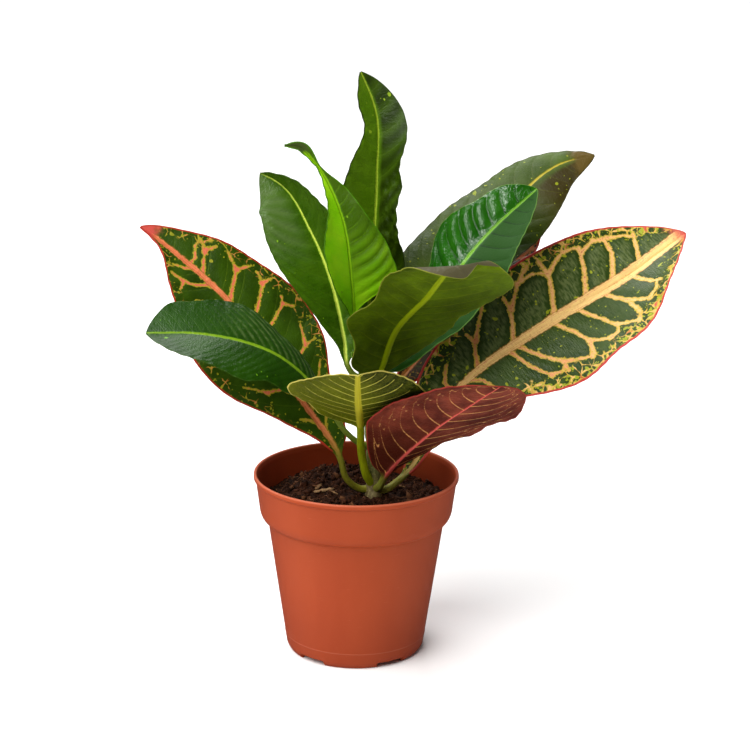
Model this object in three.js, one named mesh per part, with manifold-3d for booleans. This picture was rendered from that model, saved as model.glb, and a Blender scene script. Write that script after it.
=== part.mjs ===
// Potted croton: a young variegated foliage plant in a round plastic nursery pot.
// Millimetres, +Z up. The pot stands on z = 0 with its axis on the Z axis, and the viewer is at -Y.
import * as THREE from "three";
import Module from "manifold-3d";

const wasm = await Module();
wasm.setup();

// ---- pot -------------------------------------------------------------------
// Radii and heights. A curve is a list of small steps from the place that its comment names.
const POT = {
  height: 94,
  wall: 1.2,
  lipOuter: 52.5, // the rolled lip is 105 mm across
  lipInner: 51.2,
  lipHeight: 2.6,
  lipCurve: [[0.3, 2.6], [0, 1.6], [0.5, 0.2], [0.9, 0]], // in and down from the lip's outer top corner
  lipInnerDrop: 0.3,
  bandTop: 51.4, // radius of the band just under the lip
  bandTopZ: 91,
  bandFoot: 49.2,
  bandFootZ: 74.8,
  stepZ: 70.4, // the band steps in to the body here
  stepCurve: [[0.9, 0.2], [2.6, 1.6], [3.6, 3.1]], // out from the body's top and up from the step
  stepInside: [0.6, 1.2], // the same on the inner face
  bodyTop: 45.2,
  bodyTopZ: 69.4,
  bodyFoot: 35.5,
  bodyFootZ: 2.5,
  foot: 33.6,
  footBevel: [1.1, 0.7], // the bottom corner leans out and up by this
  hub: 24, // flat middle of the base, which rests on the table with the foot
  channelZ: 3, // raised drain channel between the hub and the foot
  floor: 1.4,
  segments: 48,
};
const NOTCHES = 5; // gaps in the foot ring
const NOTCH = { firstDeg: -129.5, widthDeg: 25, height: 2.9, depth: 6 };
const DRAIN = { radius: 28.5, length: 9, width: 2.6 };

// ---- compost and stem --------------------------------------------------------
const GAP = 0.3; // running gap wherever two pieces meet
const SOIL = {
  top: 79.6,
  fall: 0.0006, // the mound drops by this times the radius squared
  calm: 16, // the lumps fade out inside this radius
  heap: { x: -9, y: 25, height: 7.5, spread: 450 }, // behind the stem
  wallGap: 0.5,
  footWidth: 8, // flat ring round the underside
  corner: 0.2, // small bevel where the wall turns
  rings: 7,
  segments: 36,
};
// Lumps of the compost: height, waves per mm along x and y in radians, and phase.
const SOIL_WAVES = [
  [0.4, 0.43, 0.37, 1.7],
  [0.4, 0.43, -0.37, 0.9],
  [0.48, 0.91, -0.6, 2.1],
  [0.32, 0.5, 1.3, 1.571],
];
const STEM = {
  points: [[9, 2, 68], [9, 2, 82], [9, 2, 100], [7, 2, 118], [5, 2, 134], [4.3, 1.5, 147]],
  radii: [4.4, 4.6, 3.9, 3.4, 3.0, 2.6],
  rings: 15,
  segments: 14,
};

// ---- leaves ------------------------------------------------------------------
// spine      points down the middle, from inside the stem along the stalk to the tip
// bladeFrom  index of the spine point where the blade starts
// face       which way the upper face looks at the blade's base, middle and tip
// left,right half widths at the stations of WIDTH_AT, seen from above with the tip ahead
// lift       degrees each half is folded up from flat, at base, middle and tip
// curl       further degrees each half turns up between midrib and margin
// wave       margin wave: height, number of waves, phase
const WIDTH_AT = [0, 0.08, 0.2, 0.35, 0.5, 0.65, 0.8, 0.93, 1];
const THIRDS = [0, 0.5, 1];
const BLADE = { thickness: 0.7, marginThickness: 0.62, rings: 18, tipHalfWidth: 0.6 };
const LEAVES = {
  leaf_left_large: {
    spine: [
      [8, 2, 84.5], [3, 1, 84.5], [-5, -2, 91], [-8, -2, 101],
      [-28, 5, 130], [-71, 27, 181], [-112.5, 40.5, 212],
    ],
    bladeFrom: 3,
    face: [[0.2, -0.8, 0.6], [0.2, -0.8, 0.6], [0.2, -0.8, 0.6]],
    left: [5.5, 15, 29, 34, 28.5, 16.5, 3],
    right: [10, 17, 29, 34, 28, 19.5, 8.5],
    liftLeft: [15, -5, 25],
    liftRight: [15, -5, 15],
    curlLeft: [10, 0, 20],
    curlRight: [10, 0, 10],
    waveLeft: [0.8, 4.5, 0.1],
    waveRight: [0.8, 5, 0.4],
    stalk: [1.7, 1.6],
    colour: 0x2c4a1c,
  },
  leaf_left_small: {
    spine: [
      [7.5, 2, 106.5], [1, -1, 110], [-5, -4, 116], [-17, -9, 137],
      [-43, -17, 162], [-70, -22, 171], [-104, -20.5, 171.5],
    ],
    bladeFrom: 3,
    face: [[0.2, -0.5, 0.8], [0.2, -0.5, 0.8], [0.2, -0.5, 0.8]],
    left: [9, 16.5, 19.5, 25.5, 23, 18.5, 10],
    right: [7, 12, 18, 24.5, 24, 18.5, 13.5],
    liftLeft: [5, 10, 25],
    liftRight: [0, 5, 25],
    curlLeft: [-15, -15, -5],
    curlRight: [-20, -15, -5],
    waveLeft: [0.6, 3, 0.2],
    waveRight: [0.5, 3.5, 0.6],
    stalk: [1.5, 1.4],
    colour: 0x25481b,
  },
  leaf_upper_left: {
    spine: [
      [4.5, 1.6, 143], [-1.9, 1.3, 145.4], [-4.6, 1.2, 149.3], [-6.5, 4.4, 161],
      [-11, 10, 182], [-24, 24, 213.5], [-40.5, 34, 236.5], [-50.5, 36, 241.5],
    ],
    bladeFrom: 2,
    face: [[0.2, -0.9, 0.4], [0.1, -1, 0.3], [0, -1, 0.2]],
    left: [3.5, 11, 20, 25, 25, 20, 13.5],
    right: [5.5, 11.5, 19.5, 25, 24.5, 17.5, 7.5],
    liftLeft: [15, 20, 10],
    liftRight: [10, 45, 50],
    curlLeft: [10, 10, 5],
    curlRight: [10, 25, 30],
    waveLeft: [0.5, 3, 0.3],
    waveRight: [0.4, 3.5, 0.7],
    stalk: [1.5, 1.4],
    colour: 0x2a5a1a,
  },
  leaf_lime: {
    spine: [
      [4.5, 1.5, 142], [2, -3.5, 148], [-1.5, -7, 171.5], [-3, -7.5, 194],
      [-9, -1, 229.5], [-22, 5, 253.2], [-29.2, 5.5, 260.2], [-36.8, 4, 261.2],
    ],
    bladeFrom: 2,
    face: [[0.4, -0.8, 0.4], [0.3, -0.8, 0.4], [0.2, -0.9, 0.4]],
    left: [4.5, 16, 20.5, 14.5, 6, 1.3, 2.6],
    right: [2, 19.5, 20.5, 13, 7, 1.3, 2.6],
    liftLeft: [35, 25, 20],
    liftRight: [10, 20, 20],
    curlLeft: [15, 15, 10],
    curlRight: [5, 10, 10],
    waveLeft: [0.6, 3, 0.5],
    waveRight: [1, 4, 0.1],
    stalk: [1.4, 1.3],
    colour: 0x4f8f1c,
  },
  leaf_top: {
    spine: [
      [4.5, 1.5, 139.5], [3.2, 7.4, 146], [4.2, 12, 160], [7.5, 28, 204],
      [9, 39, 241], [8, 45, 272], [0, 47, 292],
    ],
    bladeFrom: 2,
    face: [[0.1, -0.9, 0.4], [0, -0.9, 0.4], [0.1, -0.9, 0.4]],
    left: [12, 18.5, 22.5, 21.5, 16.5, 8, 8],
    right: [11.5, 18.5, 23.5, 22, 20, 15.5, 7.5],
    liftLeft: [20, 25, 25],
    liftRight: [-5, 50, -10],
    curlLeft: [10, 15, 10],
    curlRight: [0, 25, -5],
    waveLeft: [0.8, 3, 0.2],
    waveRight: [1.2, 4, 0.6],
    stalk: [1.5, 1.4],
    colour: 0x2c5420,
  },
  leaf_right_back: {
    spine: [
      [4.5, 1.5, 141], [8.4, 5.5, 149], [19, 12, 164], [49, 33, 198],
      [78, 50, 224], [104, 61, 243], [122, 63.5, 247.5],
    ],
    bladeFrom: 2,
    face: [[-0.2, -0.8, 0.5], [-0.2, -0.8, 0.6], [-0.2, -0.8, 0.6]],
    left: [13, 21.5, 25.5, 25.5, 23, 16, 6],
    right: [12.5, 20, 25, 26, 25, 18, 9],
    liftLeft: [20, -5, -5],
    liftRight: [10, 10, 0],
    curlLeft: [-5, -15, -20],
    curlRight: [-10, -10, -15],
    waveLeft: [0.6, 4, 0.3],
    waveRight: [1, 4.5, 0.1],
    stalk: [1.5, 1.4],
    colour: 0x36421f,
  },
  leaf_right_quilted: {
    spine: [
      [4.5, 1.2, 141], [9, 0.6, 143.5], [12.5, -1.5, 147],
      [36, 4, 178], [60.5, 17, 210], [90, 27, 236.5],
    ],
    bladeFrom: 2,
    face: [[-0.2, -0.8, 0.5], [-0.3, -0.8, 0.6], [-0.2, -0.8, 0.6]],
    left: [6, 8.5, 10, 18, 26.5, 17.5, 11],
    right: [6.5, 12, 20, 24, 25.5, 19, 10.5],
    liftLeft: [-5, -15, 15],
    liftRight: [-15, 5, 20],
    curlLeft: [0, -5, 10],
    curlRight: [-5, 5, 15],
    waveLeft: [0.6, 4, 0.2],
    waveRight: [0.5, 4, 0.5],
    stalk: [1.5, 1.4],
    colour: 0x2f5a30,
  },
  leaf_back: {
    spine: [
      [7, 2, 119], [10, 8, 124], [18, 17, 133], [37, 34, 152],
      [66, 57, 181], [88, 75, 210], [97, 83, 230],
    ],
    bladeFrom: 2,
    face: [[-0.3, -0.8, 0.5], [-0.3, -0.8, 0.5], [-0.3, -0.8, 0.5]],
    left: [4, 8, 13, 18, 18, 12, 5],
    right: [7, 10.5, 12, 13.5, 15.5, 13, 5.5],
    liftLeft: [15, 10, 10],
    liftRight: [-10, 5, 10],
    curlLeft: [10, 5, 5],
    curlRight: [0, 5, 5],
    waveLeft: [0.6, 3, 0.2],
    waveRight: [0.6, 3, 0.6],
    stalk: [1.5, 1.4],
    colour: 0x4a2420,
  },
  leaf_right_large: {
    spine: [
      [9.5, 1.5, 84.5], [15, 0.5, 84.5], [21, 1.5, 88.5], [53, 14, 136],
      [96.5, 29, 165], [141.5, 45.5, 189], [170.5, 57.5, 208],
    ],
    bladeFrom: 2,
    face: [[-0.3, -0.8, 0.6], [-0.3, -0.8, 0.5], [-0.4, -0.7, 0.6]],
    left: [6.5, 16.5, 26, 34, 35.5, 32, 18],
    right: [4, 12, 22, 36.5, 37, 33.5, 16.5],
    liftLeft: [15, 10, 5],
    liftRight: [25, 0, 35],
    curlLeft: [10, 10, 5],
    curlRight: [15, 5, 20],
    waveLeft: [1, 5, 0.2],
    waveRight: [1.2, 5.5, 0.6],
    stalk: [1.9, 1.8],
    colour: 0x3b5226,
  },
  leaf_centre: {
    spine: [
      [5, 1.5, 137], [8.5, -3, 141.5], [10.5, -5.5, 146.5], [19, -20, 174],
      [34, -41, 197], [43, -57, 213], [46, -63, 217], [50.5, -67, 212],
    ],
    bladeFrom: 2,
    face: [[-0.2, 0.8, 0.6], [0.3, 0.6, 0.8], [0.1, -0.2, 1]],
    left: [9.5, 19.5, 28, 26, 33.5, 37, 19.5],
    right: [16.5, 18.5, 28.5, 23.5, 26, 26.5, 17],
    liftLeft: [5, 15, 0],
    liftRight: [-20, -15, -5],
    curlLeft: [5, 10, 0],
    curlRight: [-5, -5, 0],
    waveLeft: [0.6, 3, 0.2],
    waveRight: [0.5, 3, 0.4],
    stalk: [1.7, 1.7],
    colour: 0x5a6a1e,
  },
  leaf_front: {
    spine: [
      [8.5, 1.5, 87.5], [5.5, -2.5, 92.5], [3, -5, 103],
      [2, -16, 123], [1, -50, 146], [1, -85, 169.5],
    ],
    bladeFrom: 3,
    face: [[0, 0.5, 0.9], [0, 0.5, 0.9], [0, 0.5, 0.9]],
    left: [13.5, 22.5, 29.5, 33.5, 29, 20.5, 11],
    right: [16.5, 23.5, 30.5, 35, 27.5, 18, 7.5],
    liftLeft: [15, 5, 20],
    liftRight: [5, 10, 15],
    curlLeft: [10, 5, 15],
    curlRight: [5, 5, 10],
    waveLeft: [0.5, 3, 0.1],
    waveRight: [0.5, 3, 0.5],
    stalk: [2.1, 1.9],
    colour: 0x7a8030,
  },
  leaf_red: {
    spine: [
      [9.5, 1.5, 85], [12, -4.5, 88], [14, -8, 93.5],
      [34, -27.5, 122], [56, -49, 145.5], [68.5, -66, 159.5],
    ],
    bladeFrom: 2,
    face: [[0, 0.7, 0.7], [0, 0.7, 0.7], [0, 0.7, 0.7]],
    left: [15, 20, 27, 30.5, 35.5, 29.5, 16],
    right: [11, 21.5, 32, 34, 32.5, 25, 15],
    liftLeft: [30, 10, 15],
    liftRight: [10, -5, -5],
    curlLeft: [20, 10, 10],
    curlRight: [10, 5, 5],
    waveLeft: [0.8, 4, 0.1],
    waveRight: [0.5, 3.5, 0.4],
    stalk: [1.9, 1.8],
    colour: 0x5a2420,
  },
  leaf_bud: {
    spine: [
      [4.4, 1.5, 145.5], [1, 0, 148],
      [-1.5, -1.5, 152.5], [-2.5, -1.5, 158],
    ],
    bladeFrom: 1,
    face: [[0.5, -0.6, 0.4], [0.5, -0.6, 0.3], [0.5, -0.6, 0.2]],
    left: [1.2, 2, 2.5, 2.6, 2.2, 1.4, 0.8],
    right: [1.2, 2, 2.5, 2.6, 2.2, 1.4, 0.8],
    liftLeft: [20, 20, 20],
    liftRight: [20, 20, 20],
    curlLeft: [20, 20, 20],
    curlRight: [20, 20, 20],
    waveLeft: [0, 1, 0],
    waveRight: [0, 1, 0],
    stalk: [0.9, 0.8],
    rings: 8,
    colour: 0x7fb24a,
  },
};

const rad = (deg) => (deg * Math.PI) / 180;

// Smooth curve through values at rising knots: a cubic with parabolic end slopes.
function smooth(knots, values, t) {
  const v = values.map((x) => (Array.isArray(x) ? x : [x]));
  const n = knots.length;
  const h = [];
  const s = [];
  for (let i = 0; i < n - 1; i++) {
    h.push(knots[i + 1] - knots[i]);
    s.push(v[i].map((x, k) => (v[i + 1][k] - x) / h[i]));
  }
  const m = v.map((p, i) => {
    if (i === 0 || i === n - 1) return null;
    return p.map((_, k) => (s[i][k] * h[i - 1] + s[i - 1][k] * h[i]) / (h[i - 1] + h[i]));
  });
  m[0] = n === 2 ? s[0] : s[0].map((x, k) => 1.5 * x - 0.5 * m[1][k]);
  m[n - 1] = n === 2 ? s[0] : s[n - 2].map((x, k) => 1.5 * x - 0.5 * m[n - 2][k]);
  let i = 0;
  while (i < n - 2 && t >= knots[i + 1]) i++;
  const a = (t - knots[i]) / h[i];
  const value = v[i].map(
    (p, k) =>
      (2 * a ** 3 - 3 * a ** 2 + 1) * p +
      (a ** 3 - 2 * a ** 2 + a) * h[i] * m[i][k] +
      (-2 * a ** 3 + 3 * a ** 2) * v[i + 1][k] +
      (a ** 3 - a ** 2) * h[i] * m[i + 1][k],
  );
  const slope = v[i].map(
    (p, k) =>
      ((6 * a ** 2 - 6 * a) * p +
        (3 * a ** 2 - 4 * a + 1) * h[i] * m[i][k] +
        (-6 * a ** 2 + 6 * a) * v[i + 1][k] +
        (3 * a ** 2 - 2 * a) * h[i] * m[i + 1][k]) /
      h[i],
  );
  return { value, slope };
}

const vec = (p) => new THREE.Vector3(p[0], p[1], p[2]);

function chordKnots(points) {
  const knots = [0];
  for (let i = 1; i < points.length; i++)
    knots.push(knots[i - 1] + vec(points[i]).distanceTo(vec(points[i - 1])));
  return knots;
}

// Half width of one side at u = 0 (blade base) to 1 (tip): rounded ends times a smooth ratio.
function halfWidth(stations, u) {
  const round = (x) => (4 * x * (1 - x) + 1e-12) ** 0.75;
  const ratio = stations.map((w, i) => w / round(WIDTH_AT[i + 1]));
  const values = [ratio[0], ...ratio, ratio[ratio.length - 1]];
  return smooth(WIDTH_AT, values, u).value[0] * round(u);
}

// Middle point and frame (tangent, upper normal, right-hand side) at distance t along the spine.
function leafFrame(leaf, knots, t, u) {
  const { value, slope } = smooth(knots, leaf.spine, t);
  const tangent = vec(slope).normalize();
  const face = vec(smooth(THIRDS, leaf.face, Math.min(1, Math.max(0, u))).value);
  const normal = face.addScaledVector(tangent, -face.dot(tangent)).normalize();
  const side = new THREE.Vector3().crossVectors(tangent, normal);
  return { middle: vec(value), tangent, normal, side };
}

// Point on the blade's middle surface at signed distance x from the midrib, and its normal.
function bladePoint(leaf, frame, u, x) {
  const sign = x < 0 ? -1 : 1;
  const key = sign < 0 ? "Left" : "Right";
  const w = Math.max(halfWidth(sign < 0 ? leaf.left : leaf.right, u), BLADE.tipHalfWidth);
  const a = Math.min(1, Math.abs(x) / w);
  const lift = rad(smooth(THIRDS, leaf["lift" + key], u).value[0]);
  const curl = rad(smooth(THIRDS, leaf["curl" + key], u).value[0]);
  const half = (curl * a) / 2;
  const chord = Math.abs(half) < 1e-6 ? 1 : Math.sin(half) / half;
  const mid = lift + half;
  const end = lift + curl * a;
  const reach = Math.abs(x) * chord;
  const normal = frame.side
    .clone()
    .multiplyScalar(-sign * Math.sin(end))
    .addScaledVector(frame.normal, Math.cos(end));
  const [height, count, phase] = leaf["wave" + key];
  const wave = Math.sin(2 * Math.PI * (count * u + phase));
  const swell = height * wave * Math.sqrt(Math.sin(Math.PI * u)) * a * a;
  const point = frame.middle
    .clone()
    .addScaledVector(frame.side, sign * reach * Math.cos(mid))
    .addScaledVector(frame.normal, reach * Math.sin(mid))
    .addScaledVector(normal, swell);
  return { point, normal };
}

// Joins closed rings of equal length into one solid with a fan at each end.
function loft(rings) {
  const n = rings[0].length;
  const positions = [];
  const index = [];
  for (const ring of rings) for (const p of ring) positions.push(p.x, p.y, p.z);
  for (let r = 0; r < rings.length - 1; r++)
    for (let i = 0; i < n; i++) {
      const a = r * n + i;
      const b = r * n + ((i + 1) % n);
      index.push(a, b, b + n, a, b + n, a + n);
    }
  for (const [r, flip] of [[0, true], [rings.length - 1, false]]) {
    const centre = rings[r].reduce((c, p) => c.add(p), new THREE.Vector3()).divideScalar(n);
    positions.push(centre.x, centre.y, centre.z);
    const c = positions.length / 3 - 1;
    for (let i = 0; i < n; i++) {
      const a = r * n + i;
      const b = r * n + ((i + 1) % n);
      if (flip) index.push(c, b, a);
      else index.push(c, a, b);
    }
  }
  return new wasm.Manifold(
    new wasm.Mesh({
      numProp: 3,
      vertProperties: new Float32Array(positions),
      triVerts: new Uint32Array(index),
    }),
  );
}

// The upper row of a leaf ring runs from the left margin to the right, the lower row back.
const RIB_COLUMNS = [-1, -0.5, 0.5, 1]; // in rib radii
function leafRing(leaf, knots, t, u) {
  const frame = leafFrame(leaf, knots, t, u);
  const inBlade = Math.max(0, u);
  const [stalkStart, stalkEnd] = leaf.stalk;
  const start = knots[leaf.bladeFrom];
  const stalk = THREE.MathUtils.lerp(stalkStart, stalkEnd, Math.min(1, t / Math.max(start, 1)));
  const rib = (stalkEnd - 0.4) * (1 - inBlade) ** 1.2 + 0.4;
  const widths = [leaf.left, leaf.right].map((s) =>
    Math.max(halfWidth(s, inBlade), BLADE.tipHalfWidth, rib + 0.3),
  );
  const columns = [];
  const across = [
    -widths[0],
    -(rib + (widths[0] - rib) * 0.5),
    ...RIB_COLUMNS.map((c) => c * rib),
    rib + (widths[1] - rib) * 0.5,
    widths[1],
  ];
  across.forEach((x, i) => {
    const { point, normal } = bladePoint(leaf, frame, inBlade, x);
    const atMargin = i === 0 || i === across.length - 1;
    const onRib = Math.abs(x) < rib * 0.9;
    const up = (atMargin ? BLADE.marginThickness : BLADE.thickness) / 2;
    columns.push({
      upper: point.clone().addScaledVector(normal, up),
      lower: point.clone().addScaledVector(normal, onRib ? -Math.max(up, rib * 0.9) : -up),
    });
  });
  const ring = [...columns.map((c) => c.upper), ...columns.map((c) => c.lower).reverse()];
  const n = ring.length;
  const blend = THREE.MathUtils.smoothstep(u, 0, 0.06);
  return ring.map((p, i) => {
    const angle = Math.PI - ((i + 0.5) * 2 * Math.PI) / n;
    const round = frame.middle
      .clone()
      .addScaledVector(frame.side, stalk * Math.cos(angle))
      .addScaledVector(frame.normal, stalk * Math.sin(angle));
    return round.lerp(p, blend);
  });
}

function leafSolid(leaf) {
  const knots = chordKnots(leaf.spine);
  const start = knots[leaf.bladeFrom];
  const length = knots[knots.length - 1] - start;
  const rings = [];
  const stalkRings = Math.max(2, Math.round(start / 4));
  for (let i = 0; i < stalkRings; i++) {
    const t = (start * i) / stalkRings;
    rings.push(leafRing(leaf, knots, t, (t - start) / length));
  }
  const count = leaf.rings ?? BLADE.rings;
  for (let i = 0; i <= count; i++) {
    const u = Math.min(0.999, (i / count + 0.012) / 1.012);
    rings.push(leafRing(leaf, knots, start + u * length, u));
  }
  return loft(rings);
}

// Round stem, swept along its own spine; grow makes the clearance tool for its neighbours.
function stemSolid(grow) {
  const knots = chordKnots(STEM.points);
  const end = knots[knots.length - 1];
  const rings = [];
  for (let i = 0; i <= STEM.rings; i++) {
    const t = (end * i) / STEM.rings;
    const { value, slope } = smooth(knots, STEM.points, t);
    const tangent = vec(slope).normalize();
    const side = new THREE.Vector3(0, 1, 0).cross(tangent).normalize();
    const front = new THREE.Vector3().crossVectors(tangent, side);
    const scar = 1 + 0.05 * Math.sin((2 * Math.PI * t) / 11);
    const r = smooth(knots, STEM.radii, t).value[0] * scar + grow;
    const lift = i === STEM.rings ? grow : i === 0 ? -grow : 0;
    const ring = [];
    for (let k = 0; k < STEM.segments; k++) {
      const a = (2 * Math.PI * k) / STEM.segments;
      ring.push(
        vec(value)
          .addScaledVector(tangent, lift)
          .addScaledVector(side, r * Math.cos(a))
          .addScaledVector(front, r * Math.sin(a)),
      );
    }
    rings.push(ring);
  }
  return loft(rings);
}

function turned(profile, segments) {
  return wasm.Manifold.revolve([profile], segments);
}

// Share of the way that z is from low to high.
const share = (z, low, high) => (z - low) / (high - low);

// Inner radius of the tapering body, and of the band above it, at height z.
function bodyInner(z) {
  const p = POT;
  return THREE.MathUtils.lerp(p.bodyFoot, p.bodyTop, share(z, p.bodyFootZ, p.bodyTopZ)) - p.wall;
}

function bandInner(z) {
  const p = POT;
  return THREE.MathUtils.lerp(p.bandFoot, p.bandTop, share(z, p.bandFootZ, p.bandTopZ)) - p.wall;
}

// Pot wall, band, lip, hub and raised channel in one turned profile, then the notches and drains.
function potSolid() {
  const p = POT;
  const floorTop = p.channelZ + p.floor;
  const profile = [
    [0, 0],
    [p.hub, 0],
    [p.hub, p.channelZ],
    [p.foot - p.wall, p.channelZ],
    [p.foot - p.wall, 0],
    [p.foot, 0],
    [p.foot + p.footBevel[0], p.footBevel[1]],
    [p.bodyFoot, p.bodyFootZ],
    [p.bodyTop, p.bodyTopZ],
    ...p.stepCurve.map(([out, up]) => [p.bodyTop + out, p.stepZ + up]),
    [p.bandFoot, p.bandFootZ],
    [p.bandTop, p.bandTopZ],
    ...p.lipCurve.map(([inward, down]) => [p.lipOuter - inward, p.height - down]),
    [p.lipInner, p.height - p.lipInnerDrop],
    [p.bandTop - p.wall, p.height - p.lipHeight],
    [p.bandFoot - p.wall, p.bandFootZ],
    [bodyInner(p.stepZ) + p.stepInside[0], p.stepZ + p.stepInside[1]],
    [bodyInner(floorTop), floorTop],
    [p.hub - p.floor, floorTop],
    [p.hub - p.floor, p.floor],
    [0, p.floor],
  ];
  let pot = turned(profile, p.segments);
  for (let i = 0; i < NOTCHES; i++) {
    const turn = NOTCH.firstDeg + (360 / NOTCHES) * i;
    const width = 2 * p.foot * Math.tan(rad(NOTCH.widthDeg / 2));
    const notch = wasm.Manifold.cube([NOTCH.depth, width, NOTCH.height * 2], true)
      .translate([p.foot, 0, 0])
      .rotate([0, 0, turn]);
    const drain = wasm.Manifold.cube([DRAIN.width, DRAIN.length, 4 * p.floor], true)
      .translate([DRAIN.radius, 0, p.channelZ + p.floor / 2])
      .rotate([0, 0, turn]);
    pot = pot.subtract(notch).subtract(drain);
  }
  return pot;
}

// Height of the compost over the pot: a low mound with lumps, as a sum of short waves, and a heap.
function soilTop(x, y) {
  const r = Math.hypot(x, y);
  const { heap } = SOIL;
  const wave = ([height, kx, ky, phase]) => height * Math.sin(kx * x + ky * y + phase);
  const lumps = SOIL_WAVES.reduce((sum, w) => sum + wave(w), 0);
  const away = (x - heap.x) ** 2 + (y - heap.y) ** 2;
  const mound = SOIL.top - SOIL.fall * r * r;
  return mound + lumps * Math.min(1, r / SOIL.calm) + heap.height * Math.exp(-away / heap.spread);
}

// Ring of the compost at a radius, flat at height z or, without one, on the lumpy top.
function soilRing(radius, z) {
  return Array.from({ length: SOIL.segments }, (_, k) => {
    const a = (2 * Math.PI * k) / SOIL.segments;
    const x = radius * Math.cos(a);
    const y = radius * Math.sin(a);
    return new THREE.Vector3(x, y, z ?? soilTop(x, y));
  });
}

// The compost fills the pot up to its top, with a plain hole for the stem.
function soilSolid(stemTool) {
  const p = POT;
  const { wallGap, corner } = SOIL;
  const foot = p.channelZ + p.floor + GAP;
  const stepTop = p.stepZ + p.stepInside[1];
  const edge = bandInner(SOIL.top) - wallGap - corner;
  const rings = [
    soilRing(bodyInner(foot) - wallGap - SOIL.footWidth, foot),
    soilRing(bodyInner(foot) - wallGap - corner, foot),
    soilRing(bodyInner(p.bodyTopZ) - wallGap, p.bodyTopZ),
    soilRing(bodyInner(p.stepZ) + p.stepInside[0] - wallGap - corner / 2, stepTop),
    soilRing(bandInner(p.bandFootZ) - wallGap - corner / 2, p.bandFootZ + wallGap),
  ];
  for (let i = 0; i < SOIL.rings; i++) rings.push(soilRing(edge * (1 - i / SOIL.rings)));
  return loft(rings).subtract(stemTool);
}

// ---- assembly ------------------------------------------------------------------
const croton = new THREE.Group();
croton.name = "potted_croton";

function add(name, solid, colour, roughness) {
  const m = solid.getMesh();
  const stride = m.numProp;
  const positions = new Float32Array(m.numVert * 3);
  for (let i = 0; i < m.numVert; i++)
    positions.set(m.vertProperties.subarray(i * stride, i * stride + 3), i * 3);
  const geometry = new THREE.BufferGeometry();
  geometry.setAttribute("position", new THREE.BufferAttribute(positions, 3));
  geometry.setIndex(new THREE.BufferAttribute(m.triVerts, 1));
  geometry.computeVertexNormals();
  const material = new THREE.MeshStandardMaterial({ color: colour, roughness, metalness: 0 });
  const mesh = new THREE.Mesh(geometry, material);
  mesh.name = name;
  croton.add(mesh);
}

const stemTool = stemSolid(GAP);
add("pot", potSolid(), 0xb0583a, 0.5);
add("soil", soilSolid(stemTool), 0x2f1f17, 0.95);
add("stem", stemSolid(0), 0x6d7038, 0.7);
for (const [name, leaf] of Object.entries(LEAVES))
  add(name, leafSolid(leaf).subtract(stemTool), leaf.colour, 0.4);

export default croton;
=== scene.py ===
from types import SimpleNamespace

import bpy
import numpy as np
from mathutils import Matrix, Vector


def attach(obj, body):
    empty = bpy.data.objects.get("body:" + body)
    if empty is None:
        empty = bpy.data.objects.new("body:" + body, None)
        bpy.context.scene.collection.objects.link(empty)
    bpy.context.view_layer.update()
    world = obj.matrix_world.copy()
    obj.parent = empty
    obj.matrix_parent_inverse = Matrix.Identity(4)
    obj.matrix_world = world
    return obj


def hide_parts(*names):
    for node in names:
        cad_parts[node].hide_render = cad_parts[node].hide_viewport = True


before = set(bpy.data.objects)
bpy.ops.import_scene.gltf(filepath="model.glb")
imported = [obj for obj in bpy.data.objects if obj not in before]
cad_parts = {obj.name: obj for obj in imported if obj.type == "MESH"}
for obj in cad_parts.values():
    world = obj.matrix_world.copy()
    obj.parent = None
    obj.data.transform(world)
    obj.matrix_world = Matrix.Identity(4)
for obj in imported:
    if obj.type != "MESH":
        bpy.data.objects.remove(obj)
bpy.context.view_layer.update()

# Potted croton: a young variegated foliage plant in a round plastic nursery pot. Shapes are worked
# out in millimetres with the pot's axis on Z and the viewer at -Y, and make_mesh turns them to metres.
MM = 0.001
BODY = "root"

# ---- camera, light and floor ---------------------------------------------------------------------
VIEW = {"lens": 104.64, "distance": 1.1, "rise_deg": 16.0, "roll_deg": 0.6, "aim": (0.009, 0.0, 0.1456)}
SKY = {"colour": (0.97, 0.98, 1.0), "strength": 0.12}
FLOOR_SIDE = 14.0  # metres
SUN = {"towards": (-0.42, -0.48, 0.77), "strength": 4.1, "angle_deg": 55, "colour": (1.0, 1.0, 0.985)}
# name, place, aim, width, height, power, whether it also lights matt surfaces
LAMPS = (
    ("back_top", (-0.3, 0.75, 1.25), (0.0, 0.0, 0.15), 1.1, 0.7, 16.0, True),
    ("front_gloss", (-0.75, -0.75, 1.1), (0.0, 0.0, 0.15), 0.5, 0.5, 16.0, False),
    ("side_gloss", (-1.2, -0.3, 1.3), (0.0, 0.0, 0.15), 0.7, 0.5, 10.0, False),
)

# ---- pot -----------------------------------------------------------------------------------------
POT = {
    "height": 94, "wall": 1.2, "floor": 1.4, "foot": 33.6, "hub": 24, "channel_z": 3,
    "lip_outer": 52.5, "lip_inner": 51.2, "lip_height": 2.6,
    "band_top": 51.4, "band_foot": 49.2, "band_foot_z": 74.8,
    "step_z": 70.4, "body_top": 45.2, "body_foot": 35.5, "body_foot_z": 2.5,
}
NOTCHES = 5
NOTCH = {"first_deg": -129.5, "width_deg": 25, "height": 2.9, "edge_deg": 0.5}
DRAIN = {"radius": 28.5, "length": 9, "width": 2.6}
SEAM_Z = 8.6  # fine parting line near the base

# ---- compost and stem ----------------------------------------------------------------------------
SOIL = {"top": 79.6, "lump": 1.6, "wall_gap": 0.5, "base": 4.7, "around": 300, "rings": 86}
HEAP = {"x": -9, "y": 25, "height": 7.5, "spread": 450}
STEM_ROOM = {"x": 9, "y": 2, "radius": 6.5}  # kept clear of loose bits
CRUMBS = {"seed": 11, "count": 2300, "reach": 45.5, "least": 0.4, "spread": 1.8}
CRUMB_HEAP = {"radius": 16, "scale": 1.2}  # coarser crumbs on the heap
FIBRE_REACH = {"start": 43.5, "end": 45}
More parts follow.
